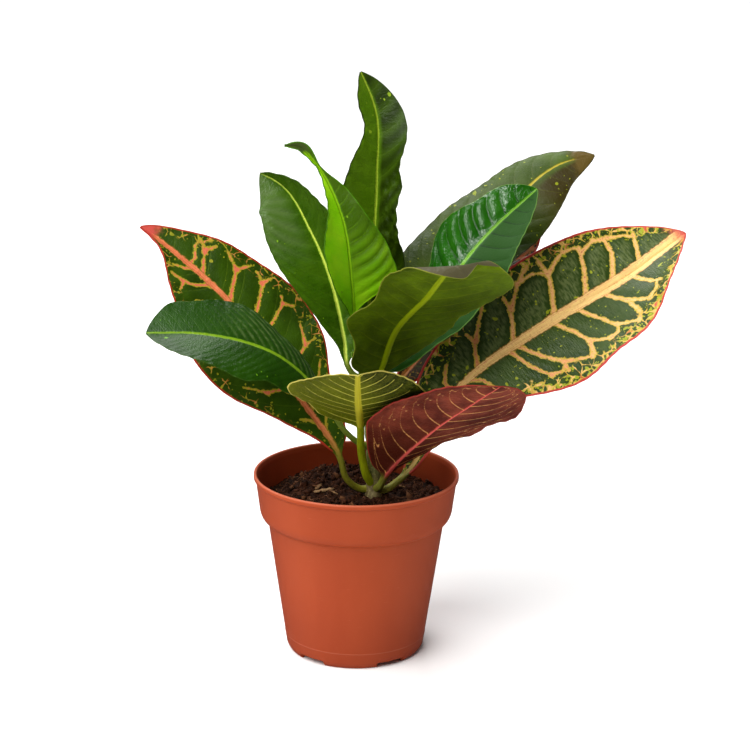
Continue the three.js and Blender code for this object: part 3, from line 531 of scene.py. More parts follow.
# What differs on each leaf, with its slot, the share of light let through and the strength of its gloss.
GREEN_UNDER = dict(under=0x687C34, under_dark=0x4E6420, under_vein=0x8C9E46, under_midrib=0x9CAC4A)
LEAF_LOOKS = {
    "leaf_left_large": dict(
        slot="leaf_variegated", thin=0.15, gloss=0.15, dark=0x263E02, light=0x385604, thread=0x5C7614,
        vein=0xE67A54, vein_edge=0xB0A028, vein_fleck=0xC84C34, midrib=0xE88654, midrib_edge=0x786414,
        margin=0xB03422, tip=0xCE4E42, speck=0xA09E24, under=0x6E542A, under_dark=0x543C1A,
        under_vein=0xC47846, under_midrib=0xBE8C46, stalk=0x807E22, fringe=0.3, wrinkle=0.5,
        web_share=0.12, thread_share=0.4, vein_share=1, net_share=0.3, speck_share=0.14, margin_width=0.8,
        tip_start=0.925, roughness=0.42,
    ),
    # This leaf's cells carry a painted greyish sheen in their middles, strongest on the left half where
    # the tint mark is high.
    "leaf_right_large": dict(
        slot="leaf_variegated", thin=0.15, gloss=0.34, dark=0x283E08, light=0x3A5012, second=0x2C420A,
        thread=0x3C5614, vein=0xFAC278, vein_edge=0xD8B446, vein_fleck=0xCE543A, midrib=0xFFD888,
        midrib_edge=0xBE7838, margin=0xC43E34, tip=0xCE5C48, speck=0xA8B020, under=0x78502E,
        under_dark=0x5C381E, under_vein=0xCE8250, under_midrib=0xCE9656, stalk=0x969638, fringe=0.35,
        wrinkle=1.6, blush=0.8, heart_share=0.8, thread_share=0.15, vein_share=1, net_share=0.72,
        speck_share=0.62, margin_width=1.1, tip_start=0.955, roughness=0.38,
    ),
    "leaf_back": dict(
        slot="leaf_variegated", thin=0.15, gloss=0.3, dark=0x2E2208, light=0x42380E, vein=0xCE6E38,
        vein_edge=0x96601E, vein_fleck=0xBE5028, midrib=0xD68246, midrib_edge=0x8C501E, margin=0xB43222,
        speck=0xA0821E, under=0x6E3C24, under_dark=0x542A16, under_vein=0xBE6442, under_midrib=0xC4784A,
        stalk=0x967832, vein_share=1, net_share=0.8, speck_share=0.3, margin_width=1, roughness=0.42,
    ),
    # Its pale second colour is painted sheen, laid in narrow stripes along the side veins of the right
    # half.
    "leaf_left_small": dict(
        slot="leaf_green", thin=0.15, gloss=0.22, dark=0x1C4000, light=0x244C00, second=0x607640,
        thread=0x406810, midrib=0x8CB222, midrib_edge=0x3C6E06, margin=0x30500A, speck=0x78B41E,
        wrinkle=0.8, speck_share=0.012, margin_width=0.35, roughness=0.36, **GREEN_UNDER,
    ),
    # Its pale second colour is painted sheen, laid in stripes along the side veins near the top of the
    # left half.
    "leaf_upper_left": dict(
        slot="leaf_green", thin=0.15, gloss=0.22, dark=0x365C04, light=0x466A0A, second=0x5C763C,
        thread=0x5C801E, midrib=0xD6E45C, midrib_edge=0x5A960A, margin=0x3C5C0E, speck=0x8CBE28,
        wrinkle=1.2, speck_share=0.012, margin_width=0.35, roughness=0.3, **GREEN_UNDER,
    ),
    "leaf_top": dict(
        slot="leaf_green", thin=0.15, gloss=0.14, dark=0x547C08, light=0x608610, second=0x243602,
        thread=0x547018, midrib=0xA0B82E, midrib_edge=0x466E08, margin=0x32460E, wrinkle=0.9,
        speck_share=0.02, margin_width=0.4, roughness=0.42, **GREEN_UNDER,
    ),
    # Its very dark thread colour is painted shade in the valleys between the quilted ridges, along the
    # side veins.
    "leaf_right_quilted": dict(
        slot="leaf_green", thin=0.15, gloss=0.36, dark=0x145002, light=0x246406, second=0x1B4800,
        thread=0x062800, midrib=0x7AB232, midrib_edge=0x326C0A, margin=0x5C8432, speck=0x64963C,
        thread_share=0.75, speck_share=0, margin_width=0.3, roughness=0.15, tint_roughness=0.62,
        **GREEN_UNDER,
    ),
    "leaf_lime": dict(
        slot="leaf_young", thin=0.32, gloss=0.16, dark=0x9FF30C, light=0xBEFC20, second=0x3C5C00,
        thread=0x96D614, midrib=0xA0D614, midrib_edge=0x5A9602, margin=0x548C08, tip=0x4E6028,
        speck=0x96C828, under=0x76A028, under_dark=0x628C18, under_vein=0x96BA3C, under_midrib=0xA6C446,
        stalk=0x78A028, thread_share=0.2, speck_share=0.01, margin_width=0.3, tip_start=0.87,
        roughness=0.45,
    ),
    "leaf_bud": dict(
        slot="leaf_young", thin=0.3, gloss=0.3, dark=0x78AA28, light=0x92C03C, midrib=0xAACE50,
        margin=0x82AA32, roughness=0.4,
    ),
    "leaf_right_back": dict(
        slot="leaf_dark", thin=0.15, gloss=0.24, dark=0x364A08, light=0x4C621A, second=0x3A320C,
        thread=0x64681E, midrib=0xC4B038, midrib_edge=0x5A600E, margin=0x3E3C14, tip=0x604E1E,
        speck=0x96A01E, under=0x6E5A32, under_dark=0x544220, under_vein=0xAA8C50, under_midrib=0xBAA050,
        wrinkle=0.8, speck_share=0.07, margin_width=0.4, tip_start=0.9, roughness=0.45,
    ),
    "leaf_centre": dict(
        slot="leaf_olive", thin=0.35, gloss=0.2, dark=0x244606, light=0x3E620E, midrib=0xBABE32,
        midrib_edge=0x5A780E, margin=0x969C32, tip=0x666044, speck=0xAAB432, under=0x769206,
        under_dark=0x506600, under_vein=0x8C9E14, under_midrib=0xB0C20E, stalk=0x8C9C10, wrinkle=0.9,
        web_share=0.12, speck_share=0.02, margin_width=0.3, tip_start=0.86, roughness=0.45,
    ),
    "leaf_front": dict(
        slot="leaf_olive", thin=0.4, gloss=0.2, dark=0x325208, light=0x506E14, second=0x2C3600,
        midrib=0xC4BE46, midrib_edge=0x648214, margin=0xDED068, speck=0xBEBE3C, under=0x787E04,
        under_dark=0x5C6400, under_vein=0xE8E05A, under_midrib=0xCCC232, stalk=0xB4BE14, web_share=0.1,
        under_vein_share=0.95, speck_share=0.02, roughness=0.45,
    ),
    "leaf_red": dict(
        slot="leaf_maroon", thin=0.3, gloss=0.2, dark=0x283206, light=0x464610, second=0x541C0C,
        vein=0xD66E3C, midrib=0xE27850, midrib_edge=0x78461E, margin=0xB03C30, speck=0xAA9628,
        under=0xA44A34, under_dark=0x5E1C12, under_vein=0xFAB064, under_midrib=0xF0685C, stalk=0x969C38,
        wrinkle=0.6, web_share=0.03, under_vein_share=1, margin_width=0.6, roughness=0.45,
    ),
}
SPECKS = ((420, 0.3), (900, 0.345))  # how dense, and widest reach in a cell
LEAF_RELIEF = (0.45, 0.4)  # strength and depth in mm


def pattern_tree():
    """Empty node group with the looks of a leaf as inputs: its wires, inputs and output sockets."""
    tree = bpy.data.node_groups.new("leaf_pattern", "ShaderNodeTree")
    sockets = [(key, "Color", paint(colour)) for key, colour in LEAF_COLOURS.items()]
    sockets += [(key, "Float", number) for key, number in LEAF_NUMBERS.items()]
    for key, kind, start in sockets:
        socket = tree.interface.new_socket(key, in_out="INPUT", socket_type="NodeSocket" + kind)
        socket.default_value = start
    for key, kind in (("Colour", "Color"), ("Roughness", "Float"), ("Height", "Float")):
        tree.interface.new_socket(key, in_out="OUTPUT", socket_type="NodeSocket" + kind)
    w = Wires(tree)
    given = tree.nodes.new("NodeGroupInput").outputs
    look = SimpleNamespace(**{key: Value(w, given[key]) for key, _, _ in sockets})
    return w, look, tree.nodes.new("NodeGroupOutput").inputs


def leaf_pattern():
    """Colour, roughness and fine relief of a leaf. Distances in mm from the midrib band, the side veins
    and the margin, wobbled by noise, are cut at their edges; specks and a broken net of thin lines
    gather near the margin."""
    w, look, out = pattern_tree()
    flat = w.mark("flat", "Vector")
    marks = ("edge", "rib", "vein", "thread", "run", "under", "tint")
    edge, rib, vein, thread, run, under, tint = (w.mark(name) for name in marks)
    fine = w.noise(flat, 1100, 3, 0.6)
    medium = w.noise(flat, 420, 3, 0.6)
    broad = w.noise(flat, 60, 3, 0.55)
    wobble = medium.swing(2.6) + fine.swing(0.8)
    ragged = edge + broad.swing(16)

    # Upper face: cloudy ground, the tinted half, a greyish painted sheen in the middle of the cells and
    # fine side veins.
    blade = w.blend(broad.step(0.3, 0.72), look.dark, look.light)
    blade = w.blend(fine.step(0.45, 0.75, 0, 0.2), blade, look.light)
    blade = w.blend(tint, blade, look.second)
    crease = w.noise(w.stretch(flat, 0.4, 1.3, 1), 650, 3, 0.6)
    painted_sheen = (vein + medium.swing(4)).step(1.2, 4) * ragged.step(4, 12)
    painted_sheen = painted_sheen * crease.step(0.36, 0.62, 0.05, 1) * (tint * 0.75 + 0.25)
    # Painted sheen: the heart colour is laid over the middle of each cell, away from the veins and the
    # margin.
    blade = w.blend(painted_sheen * look.heart_share, blade, look.heart)
    # On leaf_right_quilted the thread colour is dark: painted shade in the valleys along its side veins.
    drawn = (thread + wobble * 0.24).step(-0.15, 0.25, 1, 0)
    blade = w.blend(drawn * look.thread_share, blade, look.thread)

    # Broken net near the margin, with warmer lines inside it.
    bent = w.shifted(flat, 160, 0.005)
    mesh_lines = w.cells(bent, 190, "DISTANCE_TO_EDGE")
    broken = w.noise(flat, 170).step(0.42, 0.56)
    belt = ragged.step(1, 11, 1, 0) * (broken * 0.65 + 0.35) * run.step(0.12, 0.42, 0.25, 1)
    line_width = belt * 0.2 * look.net_share
    netted = (mesh_lines - line_width).step(-0.03, 0.02, 1, 0) * line_width.step(0.01, 0.05)
    heart = (mesh_lines - line_width * 0.45).step(-0.02, 0.02, 1, 0)
    warm = heart * w.noise(flat, 210).step(0.4, 0.55)
    hot = heart * w.noise(flat, 150).step(0.56, 0.64)
    net_colour = w.blend(warm, look.vein_edge, look.vein)
    net_colour = w.blend(hot, net_colour, look.vein_fleck)
    blade = w.blend(netted, blade, net_colour)

    share = look.speck_share * ragged.step(1, 11, 1, 0.08)
    for scale, widest in SPECKS:
        spot = w.cells(bent, scale)
        chance = w.make("SeparateColor", {0: spot.other("Color")})
        inside = w.math("LESS_THAN", spot, (chance.other(1) + 0.5) * widest)
        picked = w.math("LESS_THAN", chance, share) * inside
        blade = w.blend(picked * 0.9, blade, look.speck)

    # Broad veins: a frayed core with flecks and dots in a paler edge.
    frayed = w.noise(flat, 2400, 2, 0.6).swing(0.4)
    vein_gap = vein + wobble + frayed
    spread = w.math("MAXIMUM", w.noise(flat, 230) - 0.44, 0.0) * 5 * look.fringe
    edged = (vein_gap - spread).step(0.15, 0.6, 1, 0) * look.vein_share
    cored = vein_gap.step(-0.3, 0.1, 1, 0) * look.vein_share
    fleck = w.noise(w.stretch(flat, 1, 0.6, 1), 1300).step(0.54, 0.62)
    core = w.blend(fleck * 0.3, look.vein, look.vein_fleck)
    dots = w.cells(w.stretch(flat, 1, 0.7, 1), 900)
    dotted = dots.step(0.2, 0.32, 1, 0) * (vein - w.noise(flat, 500)).step(-1.1, -0.8, 1, 0)
    core = w.blend(dotted * 0.75, core, look.vein_fleck)
    outer = (edge + medium.swing(8)).step(1.5, 8, 1, 0)
    core = w.blend(outer * 0.55, core, look.vein_edge)
    blush = (run + broad.swing(0.6)).step(0.35, 0.65, 0.55, 0) * look.blush
    core = w.blend(blush, core, look.vein_fleck)
    core = w.blend(run.step(0.16, 0.3, 0.7, 0), core, look.vein_edge)
    blade = w.blend(edged, blade, look.vein_edge)
    blade = w.blend(cored, blade, core)

    # Band along the midrib, like the stalk at the blade's base.
    rib_gap = rib + (wobble + frayed) * look.vein_share.step(0, 1, 0.3, 0.8)
    blade = w.blend(rib_gap.step(0, 0.7, 0.8, 0), blade, look.midrib_edge)
    banded = rib_gap.step(-0.3, 0.25, 1, 0)
    lined = w.noise(w.stretch(flat, 6, 0.3, 1), 420).step(0.45, 0.65)
    band = w.blend(lined * 0.22, look.midrib, look.vein_fleck)
    flank = w.math("ABSOLUTE", rib + (frayed * 0.5 + 0.75)).step(0.08, 0.3, 1, 0)
    band = w.blend(flank * look.vein_share * 0.3, band, look.vein_fleck)
    rib_dots = dots.step(0.16, 0.26, 1, 0) * look.vein_share
    band = w.blend(rib_dots * 0.55, band, look.vein_fleck)
    young = run.step(0, 0.16, 0.8, 0) * look.vein_share
    band = w.blend(young, band, look.stalk)
    blade = w.blend(banded, blade, band)

    place = run + medium.swing(0.05)
    tip = place.step(look.tip_start, look.tip_start + 0.04)
    blade = w.blend(tip, blade, look.tip)
    width = look.margin_width
    rimmed = (edge + medium.swing(width)).step(width * 0.7, width * 1.2, 1, 0)
    blade = w.blend(rimmed, blade, look.margin)

    # Underside: grain, a fine web, the veins and the keel.
    back = w.blend(broad.step(0.3, 0.7), look.under_dark, look.under)
    back = w.blend(fine.step(0.5, 0.75, 0, 0.25), back, look.under_dark)
    back = w.blend(tint, back, look.second)
    back = w.blend(crease.step(0.42, 0.66) * 0.35, back, look.under_dark)
    web = w.cells(bent, 560, "DISTANCE_TO_EDGE").step(0.01, 0.09, 1, 0)
    back = w.blend(web * look.web_share, back, look.under_vein)
    back = w.blend(cored * 0.6, back, look.under_vein)
    back = w.blend(drawn * look.under_vein_share, back, look.under_vein)
    keel = (rib + wobble * 0.25).step(-0.4, 0.25, 1, 0)
    back = w.blend(keel, back, look.under_midrib)
    back = w.blend(rimmed, back, look.margin)

    face = w.blend(under, blade, back)
    streak = w.noise(w.stretch(flat, 6, 0.5, 1), 300, 3).step(0.35, 0.7, 0, 0.45)
    stalk = w.blend(streak * 0.7, look.stalk, look.under_dark)
    w.feed(out["Colour"], w.blend(w.mark("stalk"), face, stalk))

    dull = look.roughness + broad.swing(0.18) + tint * look.tint_roughness + under * 0.16
    w.feed(out["Roughness"], dull + fine.swing(0.14))
    small = w.cells(flat, 620, "DISTANCE_TO_EDGE").step(0, 0.14)
    height = small * 0.3 + medium * 0.45 + crease * 2 * look.wrinkle
    ridge = w.math("MAXIMUM", w.math("MAXIMUM", edged, banded), drawn * 0.5)
    w.feed(out["Height"], height + ridge * 0.8)
    return w.tree


LEAF_PATTERN = leaf_pattern()


def leaf_material(name, look, thin, gloss):
    """Waxy leaf that lets the share thin of the light through. look gives the inputs that differ."""
    material, w = new_material(name)
    feeds = {key: paint(item) if key in LEAF_COLOURS else item for key, item in look.items()}
    colour = w.make("Group", feeds, "Colour", node_tree=LEAF_PATTERN)
    relief = colour.other("Height")
    front, normal = w.surface(colour, colour.other("Roughness"), relief, *LEAF_RELIEF, gloss)
    through = w.make("BsdfTranslucent", {"Color": colour, "Normal": normal})
    both = w.make("MixShader", {0: thin, 1: front, 2: through})
    w.feed(w.tree.nodes["Material Output"].inputs["Surface"], both)
    return material


# ---- leaf shapes ---------------------------------------------------------------------------------
def half_width(stations, u):
    """Half width of one side at u: a smooth ratio times (4 u (1 - u)) ** 0.75, which rounds the ends."""
    def rounding(x):
        return (4 * x * (1 - x) + 1e-12) ** 0.75

    ratio = np.asarray(stations, float) / rounding(np.array(WIDTH_AT[1:-1]))
    values = np.concatenate([ratio[:1], ratio, ratio[-1:]])
    return curve_through(WIDTH_AT, values, u)[0][:, 0] * rounding(u)


def leaf_frames(leaf, t, u):
    """Middle, upper normal and right-hand side at each distance t along the spine. The normal is the
    face direction less its part along the spine."""
    middle, slope = curve_through(chord_knots(leaf["spine"]), leaf["spine"], t)
    tangent = unit(slope)
    face = curve_through(THIRDS, leaf["face"], np.clip(u, 0, 1))[0]
    normal = unit(face - (face * tangent).sum(1, keepdims=True) * tangent)
    return middle, normal, np.cross(tangent, normal)


def side_numbers(leaf, key, u, x):
    """For each station and column, the number in leaf[key] at u for the side that x lies on."""
    left, right = (curve_through(THIRDS, values, u)[0] for values in leaf[key])
    return np.where(x < 0, left, right)


def blade_sheet(leaf, frames, u, x, widths):
    """Middle surface of the blade and its normals. At signed distance x from the midrib a side lies on
    an arc that starts at the lift angle and turns by the curl angle up to the margin; the margin wave
    height sin(2 pi (count u + phase)) sqrt(sin(pi u)) grows with (x / w) ** 2."""
    middle, normal, side = (f[:, None, :] for f in frames)
    sign = np.where(x < 0, -1.0, 1.0)
    w = np.where(x < 0, widths[0][:, None], widths[1][:, None])
    a = np.minimum(1, np.abs(x) / w)
    lift = np.radians(side_numbers(leaf, "lift", u, x))
    curl = np.radians(side_numbers(leaf, "curl", u, x))
    half = curl * a / 2
    reach = np.abs(x) * np.sinc(half / np.pi)
    turn = (lift + half)[..., None]
    end = (lift + curl * a)[..., None]
    up = -sign[..., None] * np.sin(end) * side + np.cos(end) * normal
    heights, counts, phases = (
        np.where(x < 0, leaf["wave"][0][k], leaf["wave"][1][k]) for k in range(3)
    )
    swing = np.sin(2 * np.pi * (counts * u[:, None] + phases))
    swell = heights * swing * np.sqrt(np.sin(np.pi * u))[:, None] * a * a
    point = (
        middle
        + (sign * reach)[..., None] * np.cos(turn) * side
        + reach[..., None] * np.sin(turn) * normal
        + swell[..., None] * up
    )
    return point, up, a


def vein_phase(leaf, along, x, a):
    """Side-vein count at each point: (distance along - lean |x| - bow |x| a ** 2) / spacing. It is whole
    on a vein, and the right side runs nearly half a step ahead."""
    spacing, lean, bow = leaf["side_veins"]
    back = lean * np.abs(x) + bow * np.abs(x) * a * a
    return (along - back) / spacing + np.where(x < 0, 0.0, 0.45)


def line_distance(px, py, veins, widths, stations, length):
    """Distance in mm from each point to the nearest broad vein, less that vein's tapering half width.
    Veins are given in percent of the length and of the half width, and laid out flat in mm."""
    nearest = np.full(px.shape, FAR)
    for wide, narrow, *line in veins:
        along, across = np.array(line, float).reshape(-1, 2).T / 100
        left, right = (np.interp(along, stations, side) for side in widths)
        knots = np.column_stack([along * length, across * np.where(across < 0, left, right)])
        run = chord_knots(knots)
        for k in range(len(knots) - 1):
            a, b = knots[k], knots[k + 1]
            step = b - a
            t = ((px - a[0]) * step[0] + (py - a[1]) * step[1]) / (step @ step)
            t = np.clip(t, 0, 1)
            gap = np.hypot(px - a[0] - t * step[0], py - a[1] - t * step[1])
            share = (run[k] + t * (run[k + 1] - run[k])) / run[-1]
            flare = 0.9 * np.exp(-share * run[-1] / 2.0) + 0.62 * mix(wide, narrow, share)
            nearest = np.minimum(nearest, gap - flare)
    return nearest


def leaf_tint(name, u, v, phase):
    """Share of the second colour at u along and v across the blade, v from -1 left to 1 right."""
    stripe = 0.5 + 0.5 * np.cos(2 * np.pi * phase)
    patchy = 0.5 + 0.5 * np.sin(23 * u + 9 * np.sin(7 * v))
    young = mix(0.1, 0.66 + 0.24 * stripe, ease(u, 0.1, 0.35))
    tints = {
        "leaf_lime": ease(v, -0.02, 0.06) * mix(young, 0.95, ease(u, 0.32, 0.55)),
        "leaf_top": ease(v, 0, 0.2) * (1 - 0.22 * stripe),
        "leaf_right_back": ease(v, 0.05, 0.3) * ease(u, 0.55, 0.8),
        # The next two tints lay a painted sheen in pale stripes along the side veins.
        "leaf_upper_left": ease(-v, 0.05, 0.4) * (0.35 + 0.5 * stripe) * ease(u, 0.45, 0.7),
        "leaf_left_small": ease(v, 0.02, 0.15) * stripe**3 * ease(0.7 - u, 0, 0.3) * mix(0.25, 1, patchy),
        # On leaf_right_large the tint mainly places the painted sheen of the cells; its second colour is
        # nearly the dark one.
        "leaf_right_large": ease(0.15 - v, 0, 0.3),
        "leaf_right_quilted": ease(v, 0, 0.1),
        "leaf_front": ease(-v, 0, 0.6) * (0.68 + 0.32 * stripe),
        "leaf_red": ease(0.6 - u, 0, 0.4) * 0.8,
    }
    return tints.get(name, 0) + 0 * (u + v)


def leaf_stations(leaf):
    """Distances along the spine where the rings lie, where the blade starts, its length, and how many
    columns each side of it has. All get sparser where the triangle budget asks for it."""
    knots = chord_knots(leaf["spine"])
    start = knots[leaf["start"]]
    length = knots[-1] - start
    widest = max(leaf["left"] + leaf["right"])
    per_mm, between, rib_columns, most_triangles = LEAF_GRID.values()
    wanted = 2 * (length + start / 2) * per_mm * (4 * widest / between + 2 * rib_columns)
    coarser = max(1, np.sqrt(wanted / most_triangles))
    ring_count = int(length * per_mm / coarser)
    stalk_t = np.linspace(0, start, int(start * per_mm / 2 / coarser) + 4)[:-1]
    blade_u = np.minimum(0.999, (np.linspace(0, 1, ring_count) + 0.012) / 1.012)
    t = np.concatenate([stalk_t, start + blade_u * length])
    return t, start, length, int(widest / (between * coarser))


def blade_columns(side_columns, rib, widths):
    """Column numbers from 0 at the left margin to 7 at the right, and for each ring and column the
    signed distance from the midrib and the half width of its side. Columns crowd at the margins."""
    q = np.concatenate([
        np.linspace(0, 2, side_columns, endpoint=False),
        np.linspace(2, 5, LEAF_GRID["rib_columns"], endpoint=False),
        np.linspace(5, 7, side_columns + 1),
    ])
    outer = np.clip(np.where(q < 3.5, 2 - q, q - 5) / 2, 0, 1)
    crowd = np.sin(outer * np.pi / 2) ** 0.9
    inner = np.clip((q - 3.5) / 1.5, -1, 1)
    sign = np.where(q < 3.5, -1.0, 1.0)
    w_side = np.where(q < 3.5, widths[0][:, None], widths[1][:, None])
    rib = rib[:, None]
    x = np.where(outer > 0, sign * (rib + (w_side - rib) * crowd), inner * rib)
    return q, x, w_side


def leaf_relief(name, u, length, sheet, x, a, w_side, widths):
    """How far the blade swells and its veins: phase, and distances in mm to the side veins, to the
    lines drawn on them and to the broad veins. Between side veins the blade swells as
    sin(pi off) ** ridge, off being the phase's distance from a vein; between broad veins as
    1 - exp(-(distance / 2.6) ** 1.5); and noise adds low bumps and, where named, crumpled folds."""
    leaf = LEAVES[name]
    along = (u * length)[:, None] + 0 * x
    spacing, lean, _ = leaf["side_veins"]
    phase = vein_phase(leaf, along, x, a)
    off = np.abs(phase - np.round(phase))
    in_blade = blade_share(u)
    plump = np.sin(np.pi * off) ** leaf.get("ridge", 1.3)
    plump = plump * ease(a, 0.05, 0.3) * (1 - ease(a, 0.75, 1.0))
    first, last = leaf.get("quilt_range", (0.02, 1.0))
    stretch = ease(u, first, first + 0.15) * (1 - ease(u, last - 0.3, last))
    quilt = np.where(x < 0, *leaf["quilt"]) * plump * in_blade * stretch[:, None]
    vein_gap = off * spacing / np.hypot(1, lean)
    thread = vein_gap - leaf.get("thread", 0.28) * (1 - 0.6 * a) + 5 * ease(a, 0.8, 1.0)
    if "arch" in leaf:
        bow_line = leaf["arch"] + 0.07 * np.cos(2 * np.pi * phase)
        thread = np.minimum(thread, np.abs(a - bow_line) * w_side - 0.14)
        thread = np.minimum(thread, vein_gap - 0.12 + 5 * ease(a, 0.9, 1.0))
    vein = FAR + 0 * x
    if name in BROAD_VEINS:
        vein = line_distance(along, x, BROAD_VEINS[name], widths, u, length)
        cushion = 1 - np.exp(-((np.maximum(vein, 0) / 2.6) ** 1.5))
        quilt = 0.35 * quilt + 0.45 * cushion * (1 - ease(a, 0.85, 1.0)) * in_blade
    quilt = quilt + (0.05 * soft_noise(sheet, 2.4) + 0.22 * soft_noise(sheet, 12.0, 3)) * in_blade
    if "crumple" in leaf:
        height, low, high = leaf["crumple"]
        where = ease(u, low, low + 0.1) * (1 - ease(u, high - 0.1, high))
        folds = soft_noise(sheet * (1, 1, 0.5), 5.0, 7) + 0.5 * soft_noise(sheet, 2.5, 8)
        quilt = quilt + height * folds * where[:, None] * ease(x / w_side, 0.15, 0.4)
    return quilt, phase, vein_gap, thread, vein


def blade_share(u):
    """1 over most of the blade and 0 at its base and tip."""
    return ease(u, 0.02, 0.1)[:, None] * (1 - ease(u, 0.93, 1.0))[:, None]


def blade_rings(sheet, up, u, a, x, rib, ripple, quilt, vein_gap):
    """Closed rings round the blade: the upper row, the right margin, the lower row and the left
    margin. The upper face has a groove 0.35 exp(-(x / (0.55 rib + 0.2)) ** 2) along the midrib and
    furrows 0.1 exp(-(gap / 0.5) ** 2) on the side veins; the lower face has a round keel."""
    in_blade = blade_share(u)
    rib = rib[:, None]
    thick = LEAF_MM["thickness"] / 2
    groove = LEAF_MM["groove"] * np.exp(-((x / (0.55 * rib + 0.2)) ** 2)) * in_blade
    furrow = LEAF_MM["furrow"] * np.exp(-((vein_gap / 0.5) ** 2)) * in_blade * (np.abs(x) - rib > 0)
    keel = np.sqrt(np.maximum(0, (0.95 * rib) ** 2 - x**2))
    wave = (ripple[:, None] * a**6)[..., None] * up
    upper = sheet + up * (thick + quilt - groove - furrow)[..., None] + wave
    lower = sheet + up * (quilt - np.maximum(thick + 0.8 * furrow, keel))[..., None] + wave
    outward = unit(sheet[:, [0, -1]] - sheet[:, [1, -2]]) * thick
    rise = quilt[:, [0, -1], None] + ripple[:, None, None]
    edges = sheet[:, [0, -1]] + outward + up[:, [0, -1]] * rise
    return np.concatenate([upper, edges[:, 1:], lower[:, ::-1], edges[:, :1]], axis=1)


def stalk_rings(frames, radius, q):
    """Circles round the stalk with a point for each point of a blade ring."""
    middle, normal, side = (f[:, None] for f in frames)
    half_turn = np.pi - (q + 0.5) * np.pi / 8
    turn = np.concatenate([half_turn, [0.0], -half_turn[::-1], [-np.pi]])
    right = (radius[:, None] * np.cos(turn))[..., None]
    above = (radius[:, None] * np.sin(turn))[..., None]
    return middle + side * right + normal * above


def leaf_piece(name, material):
    """Blade and stalk in one closed surface. Rings run from inside the stem to the tip; each has an
    upper row from the left margin to the right, a rounded edge and a lower row back. A ring of the
    stalk is a circle, and eases into the blade's section over the first part of the blade."""
    leaf = LEAVES[name]
    t, start, length, side_columns = leaf_stations(leaf)
    u_full = (t - start) / length
    u = np.maximum(0, u_full)
    stalk_start, stalk_end = leaf["stalk"]
    stalk = mix(stalk_start, stalk_end, np.minimum(1, t / start)) * (1 + 0.45 * np.exp(-t / 3.5))
    rib = (stalk_end - LEAF_MM["rib_tip"]) * (1 - u) ** 1.2 + LEAF_MM["rib_tip"]
    ripple = RIPPLE["height"] * np.sin(u * length * RIPPLE["per_mm"] + 2.0 * np.sin(u * 9))
    ripple = ripple * ease(u, 0.05, 0.2)
    widths = [
        np.maximum(np.maximum(half_width(leaf[side], u), LEAF_MM["tip_half_width"]), rib + 0.3)
        for side in ("left", "right")
    ]
    q, x, w_side = blade_columns(side_columns, rib, widths)
    frames = leaf_frames(leaf, t, u_full)
    sheet, up, a = blade_sheet(leaf, frames, u, x, widths)
    quilt, phase, vein_gap, thread, vein = leaf_relief(name, u, length, sheet, x, a, w_side, widths)
    section = blade_rings(sheet, up, u, a, x, rib, ripple, quilt, vein_gap)
    rings = mix(stalk_rings(frames, stalk, q), section, ease(u_full, 0, JOIN)[:, None, None])

    def both_rows(values):
        values = values + 0 * x
        return np.concatenate([values, values[:, -1:], values[:, ::-1], values[:, :1]], axis=1)

    lower_row = np.zeros(rings.shape[:2])
    lower_row[:, len(q) + 1 : -1] = 1
    opened = ease(u_full, 0, 0.04)[:, None]
    to_tip = np.maximum(0, (1 - u[:, None]) * length * 0.9)
    margin = np.minimum(w_side * (1 - a), to_tip)
    marks = {
        "run": both_rows(u[:, None]),
        "edge": both_rows(mix(OFF_BLADE, margin, opened)),
        "rib": both_rows(np.abs(x) - curve_through(THIRDS, leaf["band"], u)[0]),
        "vein": both_rows(mix(OFF_BLADE, vein, opened)),
        "thread": both_rows(mix(OFF_BLADE, thread, opened)),
        "tint": both_rows(leaf_tint(name, u[:, None], np.sign(x) * a, phase)),
        "under": lower_row,
        "stalk": both_rows(1 - ease(u_full, 0.0, 0.05)[:, None]),
        "flat": np.stack([both_rows(x), both_rows(t[:, None]), 4 * lower_row], -1) * MM,
    }
    ended = {}
    for key, values in marks.items():
        flat = values.reshape(lower_row.size, -1)
        ended[key] = np.concatenate([flat, flat[:1], flat[-1:]])
    faces = ring_faces(*lower_row.shape)
    return make_mesh(name + "_blade", with_ends(rings), faces, material, ended, name)


def make_leaves():
    for name, given in LEAF_LOOKS.items():
        look = dict(given)
        slot, thin, gloss = (look.pop(key) for key in ("slot", "thin", "gloss"))
        leaf_piece(name, leaf_material(name, look, thin, gloss))


# ---- pot -----------------------------------------------------------------------------------------
def body_outer(z):
    """Outer radius of the tapering body at height z."""
    share = (z - POT["body_foot_z"]) / (POT["step_z"] - 1 - POT["body_foot_z"])
    return mix(POT["body_foot"], POT["body_top"], share)


def band_inner(z):
    """Inner radius of the band at height z."""
    share = (z - POT["band_foot_z"]) / (POT["height"] - POT["band_foot_z"] - 3)
    return mix(POT["band_foot"], POT["band_top"], share) - POT["wall"]


def rounded(corners, fillets, steps=5):
    """Closed profile with each corner replaced by an arc-like curve of its fillet length: points
    (1 - s) ** 2 A + 2 s (1 - s) corner + s ** 2 B from A before the corner to B after it."""
    corners = np.asarray(corners, float)
    s = np.linspace(0, 1, steps)[:, None]
    parts = []
    for k, corner in enumerate(corners):
        before = corners[k - 1] - corner
        after = corners[(k + 1) % len(corners)] - corner
        cut = min(fillets[k], 0.45 * np.linalg.norm(before), 0.45 * np.linalg.norm(after))
        a = corner + unit(before) * cut
        b = corner + unit(after) * cut
        parts.append((1 - s) ** 2 * a + 2 * s * (1 - s) * corner + s**2 * b)
    return np.concatenate(parts)


